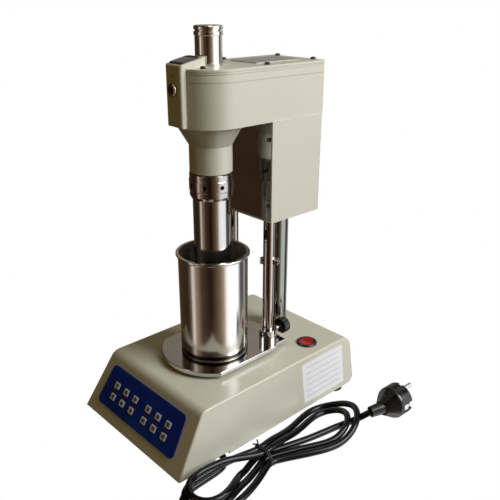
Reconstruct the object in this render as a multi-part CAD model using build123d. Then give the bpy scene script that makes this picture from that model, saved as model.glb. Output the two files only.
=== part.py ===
from build123d import *
import math
import os

# Rotational viscometer, millimetres. +Z is up and z = 0 is the bench, under the rubber feet.
# The keypad faces -Y, +X is on its user's right, and x = 0 is the plane through rotor and column.

RUN = 0.05          # radial clearance of a running or sliding fit
SEAT = 0.3          # gap between pieces that move past each other without touching
ROTOR_Y = -13.0     # the rotor's axis

# base housing
BASE_DEPTH = 274.0
BASE_BOTTOM_WIDTH = 182.0
BASE_HEIGHT = 62.0
BASE_FRONT_SETBACK = 38.5
BASE_REAR_SETBACK = 2.5
BASE_SIDE_SETBACK = 8.0
BASE_WALL = 2.5
BASE_FRONT_ROUND = 12.0
BASE_REAR_ROUND = 15.0
BASE_FOOT_ROUND = 12.0      # along the rear wall's lower edge
BASE_SIDE_ROUND = 2.0
BOSS_DEPTH = 9.0
FOOT_GAP = 7.0              # bench to the housing's lower edge
FOOT_RADIUS = 9.6
FOOT_BOTTOM_RADIUS = 11.0
FOOT_SIDE_INSET = 13.7      # from the base's lower edge to a foot's axis
FOOT_END_INSET = 22.5
BASE_PLATE_RECESS = 5.0
BASE_PLATE_THICKNESS = 2.0
BASE_PLATE_GAP = 0.2
BASE_PLATE_REAR_GAP = 3.5   # more room behind it, inside the rounded lower edge

# keypad on the sloped front
KEYPAD_SHIFT = -2.0
KEYPAD_TOP = 12.5           # down the slope from its upper edge
KEYPAD_HEIGHT = 47.0
KEYPAD_TOP_HALF = 67.5
KEYPAD_BOTTOM_HALF = 72.5
KEYPAD_THICKNESS = 1.0
KEYPAD_ROUND = 6.0
KEY_WIDTH = 8.4
KEY_HEIGHT = 7.2
KEY_PROUD = 0.6
KEY_TRAVEL = 0.5
KEY_GAP = 0.25
KEY_FLANGE = 0.8
KEY_FLANGE_THICKNESS = 1.2
KEY_STEM_RADIUS = 1.6
KEY_PITCH = 18.2
KEY_GROUP_GAP = 24.4
KEY_TOP_ROW = 31.8
KEY_ROW_PITCH = 13.4
KEY_WINDOW_WIDTH = 114.0
KEY_WINDOW_HEIGHT = 27.0
KEY_BOARD_DEPTH = 8.0       # board's face behind the sloped wall's outer face
KEY_BOARD_THICKNESS = 1.6
KEY_BOARD_MARGIN = 5.0
KEY_SWITCH_SIZE = 4.5
STANDOFF_RADIUS = 2.2

# power switch on the base's top
SWITCH_X = 60.0
SWITCH_Y = 81.0
SWITCH_BEZEL_RADIUS = 12.2
SWITCH_BEZEL_HEIGHT = 2.2
SWITCH_BARREL_RADIUS = 10.2
SWITCH_BARREL_DEPTH = 16.0
SWITCH_WALL = 1.2
ROCKER_TILT = 7.0
ROCKER_PLAY = 0.6           # round the rocker, so that it can tilt in its bezel
ROCKER_PIN_DEPTH = 1.8      # pin's axis below the base's top
ROCKER_PIN_RADIUS = 1.2
ROCKER_MIDDLE = 3.2         # the face's height over the pin, in the middle and at its ends
ROCKER_END = 4.6

# guide rods, column and stage
ROD_X = 30.5
ROD_Y = 43.8
ROD_RADIUS = 6.5
COLUMN_Y = 87.0
COLUMN_RADIUS = 13.6
COLUMN_BORE = 9.0
SPIGOT_RADIUS = 4.0
SPIGOT_LENGTH = 6.0
COLUMN_SPIGOT_RADIUS = 11.0
ROD_COLLAR_RADIUS = 10.5
STAGE_CLEARANCE = 4.0       # base top to the stage plate's underside, at rest
STAGE_THICKNESS = 4.5
STAGE_RADIUS = 61.4
STAGE_HALF_WIDTH = 51.3
STAGE_NECK_HALF = 47.0
STAGE_NECK_START = 50.2     # behind the rotor's axis, where the straight edges end
STAGE_NECK_END = 55.4
STAGE_REAR = 71.0
HUB_RADIUS = 10.6
HUB_HEIGHT = 13.5
STOP_BOLT_HEIGHT = 177.2
STOP_BOLT_RADIUS = 2.5
STOP_BOLT_TURN = 35.0
STOP_HEAD_RADIUS = 4.4
STOP_HEAD_HEIGHT = 3.4
STOP_NUT_FLATS = 8.0
STOP_NUT_HEIGHT = 4.0
STAGE_TRAVEL = 80.0
LOCK_RISE = 8.5             # over the stage's upper face
LOCK_STUD_RADIUS = 2.6
LOCK_KNOB_RADIUS = 9.6
LOCK_KNOB_LENGTH = 9.0
LOCK_KNOB_START = 21.0      # behind the rod's axis
LOCK_FLUTES = 12
LOCK_FLUTE_RADIUS = 1.3

# sample cup
CUP_RADIUS = 38.7
CUP_HEIGHT = 118.8
CUP_WALL = 1.0
CUP_FLOOR = 1.5
CUP_RIM_RADIUS = 41.1
CUP_RIM_HEIGHT = 2.4
CUP_CORNER = 3.0

# rotor and bob
SLEEVE_RADIUS = 20.3
SLEEVE_BORE = 18.415
SLEEVE_LENGTH = 87.0
SLEEVE_BOTTOM = 172.0
SLEEVE_SPIGOT = 6.0
COLLAR_RADIUS = 23.7
COLLAR_BAND_RADIUS = 23.2
COLLAR_FOOT_RADIUS = 21.6
COLLAR_HEIGHT = 27.6
COLLAR_TOP_WALL = 6.0
COLLAR_BORE = 16.5
COLLAR_HOLE_RADIUS = 2.3
COLLAR_HOLES = 8
COLLAR_HOLE_TURN = 33.8
COLLAR_HOLE_HEIGHT = 14.8
BOB_RADIUS = 17.245
BOB_LENGTH = 38.0
BOB_RISE = 9.5
BOB_CONE = 8.1
SHAFT_RADIUS = 3.0
SPINDLE_RADIUS = 8.5
SPINDLE_BORE = 4.6
BEARING_RADIUS = 17.5
BEARING_WIDTH = 10.0
BEARING_GROOVE = 1.0
SMALL_BEARING_RADIUS = 9.5
SMALL_BEARING_WIDTH = 6.0

# head: one casting with the neck, and its lid
HEAD_BOTTOM = 337.0
HEAD_RADIUS = 40.25
HEAD_REAR = 116.2
HEAD_WALL = 3.0
HEAD_CORNER = 3.0
LID_SEAM = 380.6
LID_TOP = 394.0
LID_GROOVE = 0.6
NECK_BOTTOM = 286.9
NECK_TOP = 315.5
NECK_RADIUS = 22.65
NECK_LIP_RADIUS = 13.0
NECK_LIP_HEIGHT = 2.1
CONE_TOP_RADIUS = 35.2
LID_BOSS_RADIUS = 12.5
LID_BOSS_BOTTOM = 372.5
LID_SCREWS = ((21.0, -37.6), (33.5, 35.0), (27.0, 110.5))
LID_SCREW_RADIUS = 2.9
LID_SCREW_RISE = 2.6
LID_SCREW_SHANK = 1.5
LID_SCREW_LENGTH = 14.0
LID_POST_RADIUS = 4.2

# torsion spring and its cap
CAP_RADIUS = 13.6
CAP_BEAD_RADIUS = 14.5
CAP_BORE = 11.4
CAP_HEIGHT = 37.6
CAP_TOP_WALL = 3.0
CAP_FOOT_HEIGHT = 2.6
CAP_BEAD_HEIGHT = 3.9
CAP_BEAD_GAP = 1.4
CAP_SPIGOT_HEIGHT = 5.0
SPRING_COIL_RADIUS = 5.0
SPRING_WIRE_RADIUS = 0.6
SPRING_TURNS = 4.0
SPRING_LENGTH = 18.0
SHAFT_FLANGE_HEIGHT = 2.0
ANCHOR_RADIUS = 9.0
ANCHOR_POST_RADIUS = 1.2
ANCHOR_POST_X = 7.5
ANCHOR_ARM_HEIGHT = 2.0

# dial
DIAL_RADIUS = 27.5
DIAL_BOTTOM = 363.5
DIAL_DISC = 2.5
DIAL_RIM = 14.0
DIAL_RIM_WALL = 1.6
DIAL_HUB_RADIUS = 6.5

# gear train: module 1, from the motor's pinion over an idler to the rotor's gear
MODULE = 1.0
ROTOR_TEETH = 48
IDLER_TEETH = 52
PINION_TEETH = 24
GEAR_BOTTOM = 346.0
GEAR_WIDTH = 8.0
TOOTH_SHARE = 0.42          # tooth's share of the pitch, the rest is space and backlash
PRESSURE_ANGLE = 20.0
IDLER_PIN_RADIUS = 4.0
IDLER_BOSS_RADIUS = 7.0
PINION_SHAFT_RADIUS = 3.0
MOTOR_RADIUS = 28.0
MOTOR_LENGTH = 78.0
MOTOR_FLANGE = 30.0
MOTOR_FLANGE_THICKNESS = 4.0

# motor box under the head
BOX_HALF_WIDTH = 41.5
BOX_FRONT = 36.1
BOX_REAR = 113.8
BOX_BOTTOM = 226.7
BOX_WALL = 2.0
BOX_CORNER = 3.0
BOX_FLANGE = 8.0
BOX_PLATE = 1.5
BOX_PLATE_GAP = 0.1
BOX_SCREW_X = 36.3
BOX_SCREW_HEIGHTS = (246.0, 318.0)
BOX_SCREW_RADIUS = 2.4
BOX_SCREW_RISE = 1.5
BOX_SCREW_SHANK = 1.4
BOX_SCREW_LENGTH = 5.0

# dial viewer on the nose
VIEWER_HALF = 12.2
VIEWER_PROUD = 4.45         # front face before the nose
VIEWER_FRONT_TOP = 397.4
VIEWER_REAR_TOP = 403.7
VIEWER_REAR = 14.6          # before the rotor's axis
VIEWER_ROUND = 2.5
VIEWER_WALL = 2.5
VIEWER_CAVITY_BOTTOM = 362.0
VIEWER_PORT_DEPTH = 14.0
FRAME_HALF = 10.0
FRAME_LENGTH = 22.0
FRAME_START = 4.0
FRAME_THICKNESS = 1.4
FRAME_BORDER = 2.2
LAMP_HEIGHT = 374.4
LAMP_RADIUS = 6.6
LAMP_PROUD = 3.2
LAMP_BUTTON = 2.4
VIEWER_HOLE_HEIGHT = 387.2
VIEWER_HOLE_RADIUS = 1.1

# mains lead
CORD_RADIUS = 3.65
GLAND_Y = -76.0
GLAND_START = 52.0
GLAND_LENGTH = 22.0
GLAND_RADIUS = 5.2
GLAND_HEIGHT = 5.6
NOTCH_Y = -80.0
NOTCH_WIDTH = 19.0
NOTCH_HEIGHT = 3.0
HANK_HEIGHT = 14.6
STACK_HEIGHT = 22.3
PLUG_RADIUS = 18.5
PLUG_X = 161.4
PLUG_Y = 99.7
PLUG_TURN = -2.0            # of the plug's axis from +Y towards -X
PLUG_LENGTH = 34.0
PLUG_SHOULDER = 16.0
PLUG_REAR_RADIUS = 8.5
PLUG_NECK_END = (155.5, 86.5, 16.8)
PLUG_NECK_RADIUS = 7.3
PLUG_SLOT_WIDTH = 10.0
PLUG_SLOT_DEPTH = 4.5
PLUG_SLOT_LENGTH = 15.0
PLUG_CLIP = 1.0             # earth clip's strip
PLUG_CLIP_WIDTH = 7.0
PLUG_CLIP_RISE = 3.2
PLUG_PIN_RADIUS = 2.4
PLUG_PIN_LENGTH = 19.0
PLUG_PIN_SPACING = 19.0

TOP_Z = FOOT_GAP + BASE_HEIGHT
FOOT_X = BASE_BOTTOM_WIDTH / 2 - FOOT_SIDE_INSET
FOOT_Y = BASE_DEPTH / 2 - FOOT_END_INSET
FRONT_Y = -BASE_DEPTH / 2
REAR_Y = BASE_DEPTH / 2
TOP_FRONT_Y = FRONT_Y + BASE_FRONT_SETBACK
TOP_REAR_Y = REAR_Y - BASE_REAR_SETBACK
BASE_PLATE_BOTTOM = FOOT_GAP + BASE_PLATE_RECESS
BASE_PLATE_TOP = BASE_PLATE_BOTTOM + BASE_PLATE_THICKNESS
SLOPE = math.hypot(BASE_FRONT_SETBACK, BASE_HEIGHT)
STAGE_BOTTOM = TOP_Z + STAGE_CLEARANCE
STAGE_TOP = STAGE_BOTTOM + STAGE_THICKNESS
LOCK_HEIGHT = STAGE_TOP + LOCK_RISE
SLEEVE_TOP = SLEEVE_BOTTOM + SLEEVE_LENGTH
COLLAR_TOP = SLEEVE_TOP + COLLAR_HEIGHT
IDLER_Y = ROTOR_Y + MODULE * (ROTOR_TEETH + IDLER_TEETH) / 2
MOTOR_Y = IDLER_Y + MODULE * (IDLER_TEETH + PINION_TEETH) / 2
GEAR_TOP = GEAR_BOTTOM + GEAR_WIDTH
HEAD_FLOOR = HEAD_BOTTOM + HEAD_WALL
LID_CEILING = LID_TOP - HEAD_WALL
SPRING_BOTTOM = LID_TOP + 2 * SHAFT_FLANGE_HEIGHT + 2.0
SPRING_TOP = SPRING_BOTTOM + SPRING_LENGTH
ANCHOR_ARM_BOTTOM = SPRING_TOP + 2 * SPRING_WIRE_RADIUS
NOSE_Y = ROTOR_Y - HEAD_RADIUS
VIEWER_FRONT = NOSE_Y - VIEWER_PROUD
BOX_PLATE_FRONT = BOX_FRONT + 0.3
BOX_FLANGE_FRONT = BOX_PLATE_FRONT + BOX_PLATE

# the sloped front: local x to the right, local y up the slope, local z outwards
SLOPE_PLANE = Plane(
    origin=(0, TOP_FRONT_Y, TOP_Z),
    x_dir=(1, 0, 0),
    z_dir=(0, -BASE_HEIGHT / SLOPE, BASE_FRONT_SETBACK / SLOPE),
)
BOTTOM = (Align.CENTER, Align.CENTER, Align.MIN)


def cyl(radius, z0, z1, x=0.0, y=ROTOR_Y):
    return Pos(x, y, z0) * Cylinder(radius, z1 - z0, align=BOTTOM)


def tube(radius, bore, z0, z1, x=0.0, y=ROTOR_Y):
    return cyl(radius, z0, z1, x, y) - cyl(bore, z0 - 1, z1 + 1, x, y)


def block(x0, x1, y0, y1, z0, z1):
    return Pos((x0 + x1) / 2, (y0 + y1) / 2, (z0 + z1) / 2) * Box(x1 - x0, y1 - y0, z1 - z0)


def turned(profile, y=ROTOR_Y, x=0.0):
    """A turned piece: the profile is (radius, z) points, closed, about the vertical at x, y."""
    face = make_face(Polyline(*[(r, 0, z) for r, z in profile], close=True))
    return Pos(x, y, 0) * revolve(face, Axis.Z)


def slope_block(x, down, width, height, depth0, depth1):
    """A block square to the sloped front, from depth0 to depth1 outwards of its face."""
    solid = Box(width, height, depth1 - depth0)
    return SLOPE_PLANE * Pos(x, -down, (depth0 + depth1) / 2) * solid


def wedge(inset, z_bottom, z_top):
    """The base's tapered body, with every outer face moved inwards by inset."""
    def section(z):
        part = (z - FOOT_GAP) / BASE_HEIGHT
        half = BASE_BOTTOM_WIDTH / 2 - BASE_SIDE_SETBACK * part - inset
        front = FRONT_Y + BASE_FRONT_SETBACK * part + inset * SLOPE / BASE_HEIGHT
        rear = REAR_Y - BASE_REAR_SETBACK * part - inset
        return Plane.XY.offset(z) * Pos(0, (front + rear) / 2) * Rectangle(2 * half, rear - front)
    return loft([section(z_bottom), section(z_top)], ruled=True)


def rounded_wedge(inset, z_bottom, z_top):
    solid = wedge(inset, z_bottom, z_top)
    rear_top = solid.edges().filter_by(Axis.X).sort_by(Axis.Z)[-2:].sort_by(Axis.Y)[-1]
    solid = fillet(rear_top, BASE_REAR_ROUND - inset)
    front_top = solid.edges().filter_by(Axis.X).sort_by(Axis.Z)[-1]
    solid = fillet(front_top, BASE_FRONT_ROUND - inset)
    uprights = [
        e for e in solid.edges()
        if e.length > 0.5 * BASE_HEIGHT and abs(e.tangent_at(0.5).Z) > 0.5
    ]
    solid = fillet(uprights, BASE_SIDE_ROUND - min(inset, BASE_SIDE_ROUND / 2))
    # the rear wall's lower edge, rounded with a cutter
    radius = BASE_FOOT_ROUND - inset
    y = REAR_Y - BASE_FOOT_ROUND
    z = FOOT_GAP + BASE_FOOT_ROUND
    corner = block(-BASE_DEPTH, BASE_DEPTH, y, y + BASE_DEPTH, z - BASE_DEPTH, z)
    corner -= Pos(0, y, z) * Rot(0, 90, 0) * Cylinder(radius, 3 * BASE_DEPTH)
    return solid - corner


def slope_hole_positions():
    for row in range(2):
        for column in range(6):
            side = -1 if column < 3 else 1
            step = (2 - column) if column < 3 else (column - 3)
            x = KEYPAD_SHIFT + side * (KEY_GROUP_GAP / 2 + step * KEY_PITCH)
            yield x, KEY_TOP_ROW + row * KEY_ROW_PITCH


KEY_CENTRES = list(slope_hole_positions())
KEY_MIDDLE = KEY_TOP_ROW + KEY_ROW_PITCH / 2


def base_housing():
    shell = rounded_wedge(0, FOOT_GAP, TOP_Z)
    shell -= rounded_wedge(BASE_WALL, FOOT_GAP - 0.01, TOP_Z - BASE_WALL)
    for x in (-ROD_X, ROD_X):
        shell += cyl(SPIGOT_RADIUS + 4, TOP_Z - BOSS_DEPTH, TOP_Z - BASE_WALL, x, ROD_Y)
        shell -= cyl(SPIGOT_RADIUS, TOP_Z - SPIGOT_LENGTH, TOP_Z + 1, x, ROD_Y)
    shell += cyl(COLUMN_RADIUS + 3, TOP_Z - BOSS_DEPTH, TOP_Z - BASE_WALL, 0, COLUMN_Y)
    shell -= cyl(COLUMN_SPIGOT_RADIUS, TOP_Z - SPIGOT_LENGTH, TOP_Z + 1, 0, COLUMN_Y)
    shell -= cyl(COLUMN_BORE, 0, TOP_Z, 0, COLUMN_Y)
    shell -= cyl(SWITCH_BARREL_RADIUS, TOP_Z - 2 * BASE_WALL, TOP_Z + 1, SWITCH_X, SWITCH_Y)
    window = slope_block(KEYPAD_SHIFT, KEY_MIDDLE, KEY_WINDOW_WIDTH, KEY_WINDOW_HEIGHT,
                         -2 * BASE_WALL, 1)
    shell -= window
    notch = Box(4 * BASE_WALL, NOTCH_WIDTH, 2 * NOTCH_HEIGHT)
    shell -= Pos(BASE_BOTTOM_WIDTH / 2, NOTCH_Y, FOOT_GAP) * notch
    return shell


def base_plate():
    plate = wedge(BASE_WALL + BASE_PLATE_GAP, BASE_PLATE_BOTTOM, BASE_PLATE_TOP)
    rear = REAR_Y - BASE_WALL - BASE_PLATE_REAR_GAP
    plate -= block(-BASE_DEPTH, BASE_DEPTH, rear, BASE_DEPTH, 0, TOP_Z)
    uprights = [e for e in plate.edges() if abs(e.tangent_at(0.5).Z) > 0.5]
    return fillet(uprights, 2.0)


def base_feet():
    feet = []
    for x in (-FOOT_X, FOOT_X):
        for y in (-FOOT_Y, FOOT_Y):
            foot = Pos(x, y, 0) * Cone(FOOT_BOTTOM_RADIUS, FOOT_RADIUS, BASE_PLATE_BOTTOM,
                                       align=BOTTOM)
            foot -= cyl(2.2, -1, 5.0, x, y)
            feet.append(foot)
    return Compound(feet)


def keypad_panel():
    top, bottom = -KEYPAD_TOP, -(KEYPAD_TOP + KEYPAD_HEIGHT)
    outline = Polyline(
        (KEYPAD_SHIFT - KEYPAD_TOP_HALF, top), (KEYPAD_SHIFT + KEYPAD_TOP_HALF, top),
        (KEYPAD_SHIFT + KEYPAD_BOTTOM_HALF, bottom), (KEYPAD_SHIFT - KEYPAD_BOTTOM_HALF, bottom),
        close=True)
    sketch = make_face(outline)
    sketch = fillet(sketch.vertices(), KEYPAD_ROUND)
    panel = SLOPE_PLANE * extrude(sketch, KEYPAD_THICKNESS)
    for x, down in KEY_CENTRES:
        panel -= slope_block(x, down, KEY_WIDTH + 2 * KEY_GAP, KEY_HEIGHT + 2 * KEY_GAP,
                             -1, KEYPAD_THICKNESS + 1)
    return panel


def key(x, down):
    cap = Box(KEY_WIDTH, KEY_HEIGHT, KEYPAD_THICKNESS + KEY_PROUD + SEAT)
    cap = fillet(cap.edges().filter_by(Axis.Z), 1.0)
    cap = fillet(cap.edges().group_by(Axis.Z)[-1], 0.3)
    lift = (KEYPAD_THICKNESS + KEY_PROUD - SEAT) / 2
    solid = SLOPE_PLANE * Pos(x, -down, lift) * cap
    solid += slope_block(x, down, KEY_WIDTH + 2 * KEY_FLANGE, KEY_HEIGHT + 2 * KEY_FLANGE,
                         -SEAT - KEY_FLANGE_THICKNESS, -SEAT)
    stem = Cylinder(KEY_STEM_RADIUS, KEY_BOARD_DEPTH - 2.0 - SEAT - KEY_FLANGE_THICKNESS
                    - KEY_TRAVEL - 0.2, align=(Align.CENTER, Align.CENTER, Align.MAX))
    solid += SLOPE_PLANE * Pos(x, -down, -SEAT - KEY_FLANGE_THICKNESS) * stem
    return solid


def keypad_board():
    width = KEY_WINDOW_WIDTH + 2 * KEY_BOARD_MARGIN
    height = KEY_WINDOW_HEIGHT + 2 * KEY_BOARD_MARGIN
    board = slope_block(KEYPAD_SHIFT, KEY_MIDDLE, width, height,
                        -KEY_BOARD_DEPTH - KEY_BOARD_THICKNESS, -KEY_BOARD_DEPTH)
    for x, down in KEY_CENTRES:
        board += slope_block(x, down, KEY_SWITCH_SIZE, KEY_SWITCH_SIZE,
                             -KEY_BOARD_DEPTH, -KEY_BOARD_DEPTH + 2.0)
    for sx in (-1, 1):
        for sy in (-1, 1):
            x = KEYPAD_SHIFT + sx * (width - KEY_BOARD_MARGIN) / 2
            y = -KEY_MIDDLE + sy * (height - KEY_BOARD_MARGIN) / 2
            post = Cylinder(STANDOFF_RADIUS, KEY_BOARD_DEPTH - BASE_WALL, align=BOTTOM)
            board += SLOPE_PLANE * Pos(x, y, -KEY_BOARD_DEPTH) * post
    return board


def control_board():
    board = block(-60, 20, -60, 0, BASE_PLATE_TOP + 8, BASE_PLATE_TOP + 9.6)
    for x in (-56, 16):
        for y in (-56, -4):
            board += cyl(2.5, BASE_PLATE_TOP, BASE_PLATE_TOP + 8, x, y)
    for x, y, size, height in ((-40, -35, 12, 3), (-15, -40, 9, 3), (5, -20, 14, 10)):
        board += block(x - size / 2, x + size / 2, y - size / 2, y + size / 2,
                       BASE_PLATE_TOP + 9.6, BASE_PLATE_TOP + 9.6 + height)
    board += cyl(5, BASE_PLATE_TOP + 9.6, BASE_PLATE_TOP + 24, -48, -14)
    return board


def transformer():
    x0, x1, y0, y1, z0 = -58.0, -8.0, 62.0, 108.0, BASE_PLATE_TOP
    core = block(x0 + 8, x1 - 8, y0, y1, z0 + 2, z0 + 40)
    coil = block(x0 + 2, x1 - 2, y0 + 9, y1 - 9, z0 + 8, z0 + 34)
    foot = block(x0, x1, y0 + 4, y1 - 4, z0, z0 + 2)
    return core + coil + foot


def switch_bezel():
    rim = cyl(SWITCH_BEZEL_RADIUS, TOP_Z, TOP_Z + SWITCH_BEZEL_HEIGHT, SWITCH_X, SWITCH_Y)
    rim = chamfer(rim.edges().group_by(Axis.Z)[-1], 1.0)
    barrel = cyl(SWITCH_BARREL_RADIUS, TOP_Z - SWITCH_BARREL_DEPTH, TOP_Z, SWITCH_X, SWITCH_Y)
    bore = SWITCH_BARREL_RADIUS - SWITCH_WALL
    body = rim + barrel
    body -= cyl(bore, TOP_Z - SWITCH_BARREL_DEPTH + 3, TOP_Z + 10, SWITCH_X, SWITCH_Y)
    pin = Rot(0, 90, 0) * Cylinder(ROCKER_PIN_RADIUS - RUN, 2 * bore + SWITCH_WALL)
    return body + Pos(SWITCH_X, SWITCH_Y, TOP_Z - ROCKER_PIN_DEPTH) * pin


def switch_rocker():
    """The rocker's face is two shallow slopes that meet over its pin; at rest one side is down."""
    radius = SWITCH_BARREL_RADIUS - SWITCH_WALL - ROCKER_PLAY
    side_view = make_face(Polyline(
        (0, -radius, -1.0), (0, -radius / 2, -3.0), (0, radius / 2, -3.0), (0, radius, -1.0),
        (0, radius, ROCKER_END), (0, 0, ROCKER_MIDDLE), (0, -radius, ROCKER_END), close=True))
    body = extrude(side_view, radius, dir=(1, 0, 0), both=True) & cyl(radius, -5, 8, 0, 0)
    body -= Rot(0, 90, 0) * Cylinder(ROCKER_PIN_RADIUS, 40)
    return Pos(SWITCH_X, SWITCH_Y, TOP_Z - ROCKER_PIN_DEPTH) * Rot(ROCKER_TILT, 0, 0) * body


def guide_rods():
    rods = []
    for x in (-ROD_X, ROD_X):
        rod = cyl(ROD_RADIUS, TOP_Z, BOX_BOTTOM, x, ROD_Y)
        rod += cyl(SPIGOT_RADIUS, TOP_Z - SPIGOT_LENGTH, TOP_Z, x, ROD_Y)
        rod += cyl(SPIGOT_RADIUS, BOX_BOTTOM, BOX_BOTTOM + SPIGOT_LENGTH, x, ROD_Y)
        if x > 0:
            hole = Rot(0, 0, STOP_BOLT_TURN) * Rot(0, 90, 0) * Cylinder(STOP_BOLT_RADIUS, 30)
            rod -= Pos(x, ROD_Y, STOP_BOLT_HEIGHT) * hole
        rods.append(rod)
    return Compound(rods)


def main_column():
    column = cyl(COLUMN_RADIUS, TOP_Z, BOX_BOTTOM, 0, COLUMN_Y)
    column += cyl(COLUMN_SPIGOT_RADIUS, TOP_Z - SPIGOT_LENGTH, TOP_Z, 0, COLUMN_Y)
    column += cyl(COLUMN_SPIGOT_RADIUS, BOX_BOTTOM, BOX_BOTTOM + SPIGOT_LENGTH, 0, COLUMN_Y)
    return column - cyl(COLUMN_BORE, 0, 400, 0, COLUMN_Y)


def rod_collars():
    """Low collars at the rods' feet, on which the stage comes down."""
    return Compound([
        tube(ROD_COLLAR_RADIUS, ROD_RADIUS, TOP_Z, STAGE_BOTTOM - SEAT / 3, x, ROD_Y)
        for x in (-ROD_X, ROD_X)
    ])


def stop_bolt():
    """Cross bolt and nut through the right rod: the stage's upper stop."""
    turn = Pos(ROD_X, ROD_Y, STOP_BOLT_HEIGHT) * Rot(0, 0, STOP_BOLT_TURN) * Rot(0, 90, 0)
    shank_end = ROD_RADIUS + STOP_NUT_HEIGHT + 1.5
    shank = Pos(0, 0, -ROD_RADIUS) * Cylinder(STOP_BOLT_RADIUS, ROD_RADIUS + shank_end, align=BOTTOM)
    head = Pos(0, 0, -ROD_RADIUS - STOP_HEAD_HEIGHT) * Cylinder(STOP_HEAD_RADIUS, STOP_HEAD_HEIGHT,
                                                                align=BOTTOM)
    head = fillet(head.edges().group_by(Axis.Z)[0], 1.6)
    nut = extrude(RegularPolygon(STOP_NUT_FLATS / 2, 6, major_radius=False), STOP_NUT_HEIGHT)
    nut = Pos(0, 0, ROD_RADIUS) * nut - Cylinder(STOP_BOLT_RADIUS, 60)
    return Compound([turn * (shank + head), turn * nut])


def stage_outline():
    """Round in front about the rotor's axis, straight sides, and a narrower tail at the rods."""
    corner = math.sqrt(STAGE_RADIUS ** 2 - STAGE_HALF_WIDTH ** 2)
    w, n = STAGE_HALF_WIDTH, STAGE_NECK_HALF
    arc = ThreePointArc((-w, -corner), (0, -STAGE_RADIUS), (w, -corner))
    line = Polyline((w, -corner), (w, STAGE_NECK_START), (n, STAGE_NECK_END), (n, STAGE_REAR),
                    (-n, STAGE_REAR), (-n, STAGE_NECK_END), (-w, STAGE_NECK_START), (-w, -corner))
    return make_face([arc, line])


def stage_plate():
    plate = Pos(0, ROTOR_Y, STAGE_BOTTOM) * extrude(stage_outline(), STAGE_THICKNESS)
    plate = chamfer(plate.faces().sort_by(Axis.Z)[-1].edges(), 0.5)
    for x in (-ROD_X, ROD_X):
        plate -= cyl(ROD_RADIUS + SEAT, 0, 400, x, ROD_Y)
    return plate


def stage_hubs():
    hubs = []
    for x in (-ROD_X, ROD_X):
        hub = tube(HUB_RADIUS, ROD_RADIUS + RUN, STAGE_TOP, STAGE_TOP + HUB_HEIGHT, x, ROD_Y)
        hub = chamfer(hub.edges().filter_by(GeomType.CIRCLE).sort_by(Axis.Z)[-1], 0.6)
        if x > 0:
            hole = Rot(-90, 0, 0) * Cylinder(LOCK_STUD_RADIUS + RUN, 20, align=BOTTOM)
            hub -= Pos(x, ROD_Y, LOCK_HEIGHT) * hole
        hubs.append(hub)
    return Compound(hubs)


def lock_stud():
    stud = Cylinder(LOCK_STUD_RADIUS, LOCK_KNOB_START + 4 - ROD_RADIUS - RUN - SEAT / 2, align=BOTTOM)
    return Pos(ROD_X, ROD_Y + ROD_RADIUS + RUN + SEAT / 2, LOCK_HEIGHT) * Rot(-90, 0, 0) * stud


def lock_knob():
    knob = Cylinder(LOCK_KNOB_RADIUS, LOCK_KNOB_LENGTH, align=BOTTOM)
    knob = fillet(knob.edges().group_by(Axis.Z)[-1], 2.2)
    for i in range(LOCK_FLUTES):
        flute = Cylinder(LOCK_FLUTE_RADIUS, 3 * LOCK_KNOB_LENGTH)
        knob -= Rot(0, 0, i * 360 / LOCK_FLUTES) * Pos(LOCK_KNOB_RADIUS + 0.4, 0, 0) * flute
    knob += Pos(0, 0, -3) * Cylinder(LOCK_STUD_RADIUS + 1.8, 3, align=BOTTOM)
    knob -= Pos(0, 0, -4) * Cylinder(LOCK_STUD_RADIUS, 8, align=BOTTOM)
    return Pos(ROD_X, ROD_Y + LOCK_KNOB_START, LOCK_HEIGHT) * Rot(-90, 0, 0) * knob


def sample_cup():
    top = STAGE_TOP + CUP_HEIGHT
    inner = CUP_RADIUS - CUP_WALL
    cup = cyl(CUP_RADIUS, STAGE_TOP, top)
    cup = fillet(cup.edges().group_by(Axis.Z)[0], CUP_CORNER)
    cavity = cyl(inner, STAGE_TOP + CUP_FLOOR, top + 1)
    cavity = fillet(cavity.edges().group_by(Axis.Z)[0], CUP_CORNER - CUP_WALL)
    rim = turned([
        (inner, top - CUP_RIM_HEIGHT - 1.6), (CUP_RADIUS, top - CUP_RIM_HEIGHT - 1.6),
        (CUP_RIM_RADIUS, top - CUP_RIM_HEIGHT + 0.6), (CUP_RIM_RADIUS, top - 0.4),
        (CUP_RIM_RADIUS - 0.4, top), (inner, top)])
    return cup + rim - cavity


def rotor_sleeve():
    sleeve = tube(SLEEVE_RADIUS, SLEEVE_BORE, SLEEVE_BOTTOM, SLEEVE_TOP + SLEEVE_SPIGOT)
    return chamfer(sleeve.edges().group_by(Axis.Z)[0], 0.4)


def rotor_collar():
    z0, z1 = SLEEVE_TOP, COLLAR_TOP
    ring = turned([
        (COLLAR_BORE, z0), (COLLAR_FOOT_RADIUS, z0), (COLLAR_BAND_RADIUS, z0 + 3.2),
        (COLLAR_BAND_RADIUS, z0 + 8.6), (COLLAR_RADIUS, z0 + 9.4), (COLLAR_RADIUS, z0 + 20.2),
        (COLLAR_BAND_RADIUS, z0 + 21.0), (COLLAR_BAND_RADIUS, z1 - 0.8),
        (COLLAR_BAND_RADIUS - 0.8, z1), (SPINDLE_RADIUS, z1),
        (SPINDLE_RADIUS, z1 - COLLAR_TOP_WALL), (COLLAR_BORE, z1 - COLLAR_TOP_WALL)])
    ring -= cyl(SLEEVE_RADIUS, z0 - 1, z0 + SLEEVE_SPIGOT)
    for i in range(COLLAR_HOLES):
        hole = Rot(0, 90, 0) * Cylinder(COLLAR_HOLE_RADIUS, 40, align=BOTTOM)
        turn = Rot(0, 0, COLLAR_HOLE_TURN + i * 360 / COLLAR_HOLES)
        ring -= Pos(0, ROTOR_Y, z0 + COLLAR_HOLE_HEIGHT) * turn * hole
    return ring


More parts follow.
